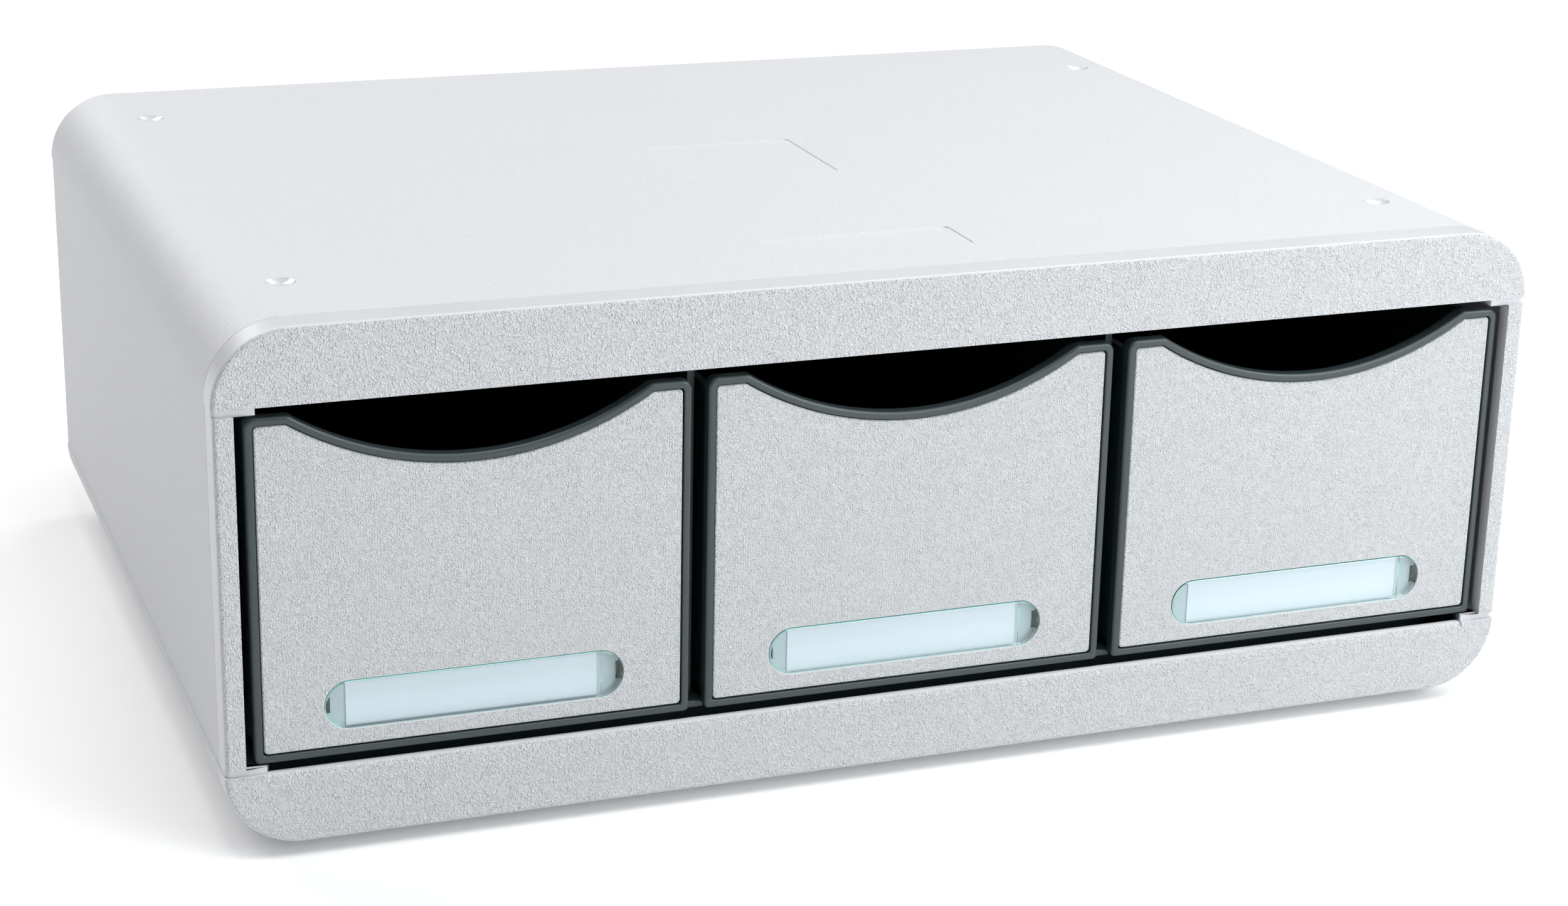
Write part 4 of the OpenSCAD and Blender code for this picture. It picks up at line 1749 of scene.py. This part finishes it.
@dataclass(frozen=True)
class Chassis:
    """The pieces that keep their CAD shape, and the feet of the dividers.

    Attributes:
        divider_x: Distance of the dividers from the middle.
        foot_reach: Half the width of a foot.
        foot_low: Height of its underside.
        foot_high: Height of its top.
        foot_front: Its front face, just behind the rims.
        foot_back: Its rear face, against the floor.
        foot_edge: Rounding of its front edges.
        finishes: The finish of each node.
    """

    divider_x: float = 57.3
    foot_reach: float = 2.8
    foot_low: float = 24.5
    foot_high: float = 26.4
    foot_front: float = -130.3
    foot_back: float = -125.7
    foot_edge: float = 0.3
    finishes: dict[str, Finish] = field(
        default_factory=lambda: {
            "rear_panel": Finish.FINE_GRAIN,
            "chassis_floor": Finish.CHASSIS_SMOOTH,
            "left_divider": Finish.CHASSIS_SMOOTH,
            "right_divider": Finish.CHASSIS_SMOOTH,
        }
    )

    def dress(self, nodes: dict[str, bpy.types.Object]) -> list[bpy.types.Object]:
        """Gives each node its finish, and adds the front ends of the dividers' feet.

        Args:
            nodes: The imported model's nodes by name.

        Returns:
            The nodes that were dressed, and the feet.
        """
        for name, finish in self.finishes.items():
            for place in nodes[name].material_slots:
                place.material = finish.material()
        return [nodes[name] for name in self.finishes] + [self.foot(-1), self.foot(1)]

    def foot(self, side: int) -> bpy.types.Object:
        """Builds the front end of a divider's foot, which fills the gap between two rims.

        Args:
            side: -1 for the left divider and 1 for the right one.

        Returns:
            The foot.
        """
        draft = Draft()
        steps = [(reach, self.foot_front + back) for reach, back in rounding(self.foot_edge, 4)]
        rings = []
        for inset, y in [*steps, (0.0, self.foot_back)]:
            wide = 2 * (self.foot_reach - inset)
            tall = self.foot_high - self.foot_low - 2 * inset
            middle = (side * self.divider_x, (self.foot_low + self.foot_high) / 2)
            rings.append(draft.ring(rectangle(wide, tall, middle), y))
        draft.close(rings)
        name = "left" if side < 0 else "right"
        piece = draft.build(f"{name}_divider_foot", [Finish.CHASSIS_SMOOTH])
        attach(piece, "casing")
        return piece


@dataclass(frozen=True)
class AreaLight:
    """A softbox.

    Attributes:
        name: The light's name.
        place: Where it is, in metres.
        size: Its width and height, in metres.
        power: Its power in watts.
        colour: The colour of its light.
        aim: The point that it faces, in metres.
    """

    name: str
    place: tuple[float, float, float]
    size: tuple[float, float]
    power: float
    colour: tuple[float, float, float] = (1.0, 1.0, 1.0)
    aim: tuple[float, float, float] = (0.0, 0.0, 0.06)

    def build(self) -> None:
        """Adds the light to the scene."""
        data = bpy.data.lights.new(self.name, "AREA")
        data.shape = "RECTANGLE"
        data.size, data.size_y = self.size
        data.energy = self.power
        data.color = self.colour
        lamp = bpy.data.objects.new(self.name, data)
        lamp.location = self.place
        direction = Vector(self.aim) - Vector(self.place)
        lamp.rotation_euler = direction.to_track_quat("-Z", "Y").to_euler()
        bpy.context.collection.objects.link(lamp)


@dataclass(frozen=True)
class Studio:
    """A pale floor, soft light from five softboxes and a dim room, and the camera.

    Attributes:
        camera_place: The camera's place in metres.
        azimuth: Its direction round the object, in degrees.
        elevation: Its height angle, in degrees.
        roll: Its tilt, in degrees.
        lens: Its focal length in millimetres.
        sensor: Width of its sensor in millimetres.
        room: Brightness of the light that the room's white walls return.
        backdrop: Brightness of the white backdrop in the picture.
        floor_side: Side of the square floor in millimetres.
        lights: The softboxes.
    """

    camera_place: tuple[float, float, float] = (-0.29241, -0.81126, 0.33454)
    azimuth: float = -20.787
    elevation: float = 18.509
    roll: float = 1.2687
    lens: float = 70.38
    sensor: float = 36.0
    room: float = 0.02
    backdrop: float = 1.0
    floor_side: float = 40000.0
    lights: tuple[AreaLight, ...] = (
        AreaLight("overhead_softbox", (0.08, -0.616, 1.751), (1.0, 1.0), 16.4),
        AreaLight("front_right_softbox", (0.517, -0.895, 0.436), (0.6, 0.6), 5.3, COOL),
        AreaLight("right_softbox", (0.73, -0.421, 0.767), (0.6, 0.6), 4.9, COOL),
        AreaLight("rear_right_softbox", (0.818, 0.818, 1.439), (1.0, 1.0), 8.0),
        AreaLight("rear_left_softbox", (-0.689, 1.194, 1.217), (1.0, 1.0), 21.2),
    )

    def build(self) -> None:
        """Adds the floor, the light and the camera."""
        self.floor()
        graph = Graph("white_room", world=True)
        rays = graph.add("ShaderNodeLightPath")
        strength = graph.add(
            "ShaderNodeMapRange",
            {"Value": rays.outputs["Is Camera Ray"], "To Min": self.room, "To Max": self.backdrop},
        )
        walls = graph.add(
            "ShaderNodeBackground", {"Color": WHITE, "Strength": strength.outputs[0]}
        )
        graph.add("ShaderNodeOutputWorld", {"Surface": walls.outputs[0]})
        bpy.context.scene.world = graph.owner
        for light in self.lights:
            light.build()
        self.camera()
        bpy.context.scene.view_settings.view_transform = "Standard"

    def floor(self) -> None:
        """Adds the floor that the object stands on."""
        draft = Draft()
        draft.face(draft.level(rectangle(self.floor_side, self.floor_side), 0.0))
        plane = draft.build("floor", [Finish.FLOOR])

    def camera(self) -> None:
        """Adds the camera at the photograph's viewing angle."""
        a, b, c = (math.radians(v) for v in (self.azimuth, self.elevation, self.roll))
        back = Vector((math.sin(a) * math.cos(b), -math.cos(a) * math.cos(b), math.sin(b)))
        level = Vector((math.cos(a), math.sin(a), 0.0))
        upright = back.cross(level)
        right = level * math.cos(c) + upright * math.sin(c)
        up = upright * math.cos(c) - level * math.sin(c)
        data = bpy.data.cameras.new("camera")
        data.sensor_fit = "HORIZONTAL"
        data.sensor_width = self.sensor
        data.lens = self.lens
        data.clip_start = 0.02
        camera = bpy.data.objects.new("camera", data)
        axes = Matrix((right, up, back)).transposed().to_4x4()
        camera.matrix_world = Matrix.Translation(self.camera_place) @ axes
        bpy.context.collection.objects.link(camera)
        bpy.context.scene.camera = camera


def main() -> None:
    """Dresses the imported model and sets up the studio."""
    logging.basicConfig(level=logging.INFO, format="%(name)s: %(message)s")
    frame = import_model()
    pieces = Casing().build()
    for place, side in ((-1, "left"), (0, "middle"), (1, "right")):
        pieces += Drawer(side, place).build()
    pieces += Chassis().dress(frame["nodes"])
    for piece in pieces:
        log.info("%s: %d faces", piece.name, len(piece.data.polygons))
    Studio().build()


if __name__ == "__main__":
    main()
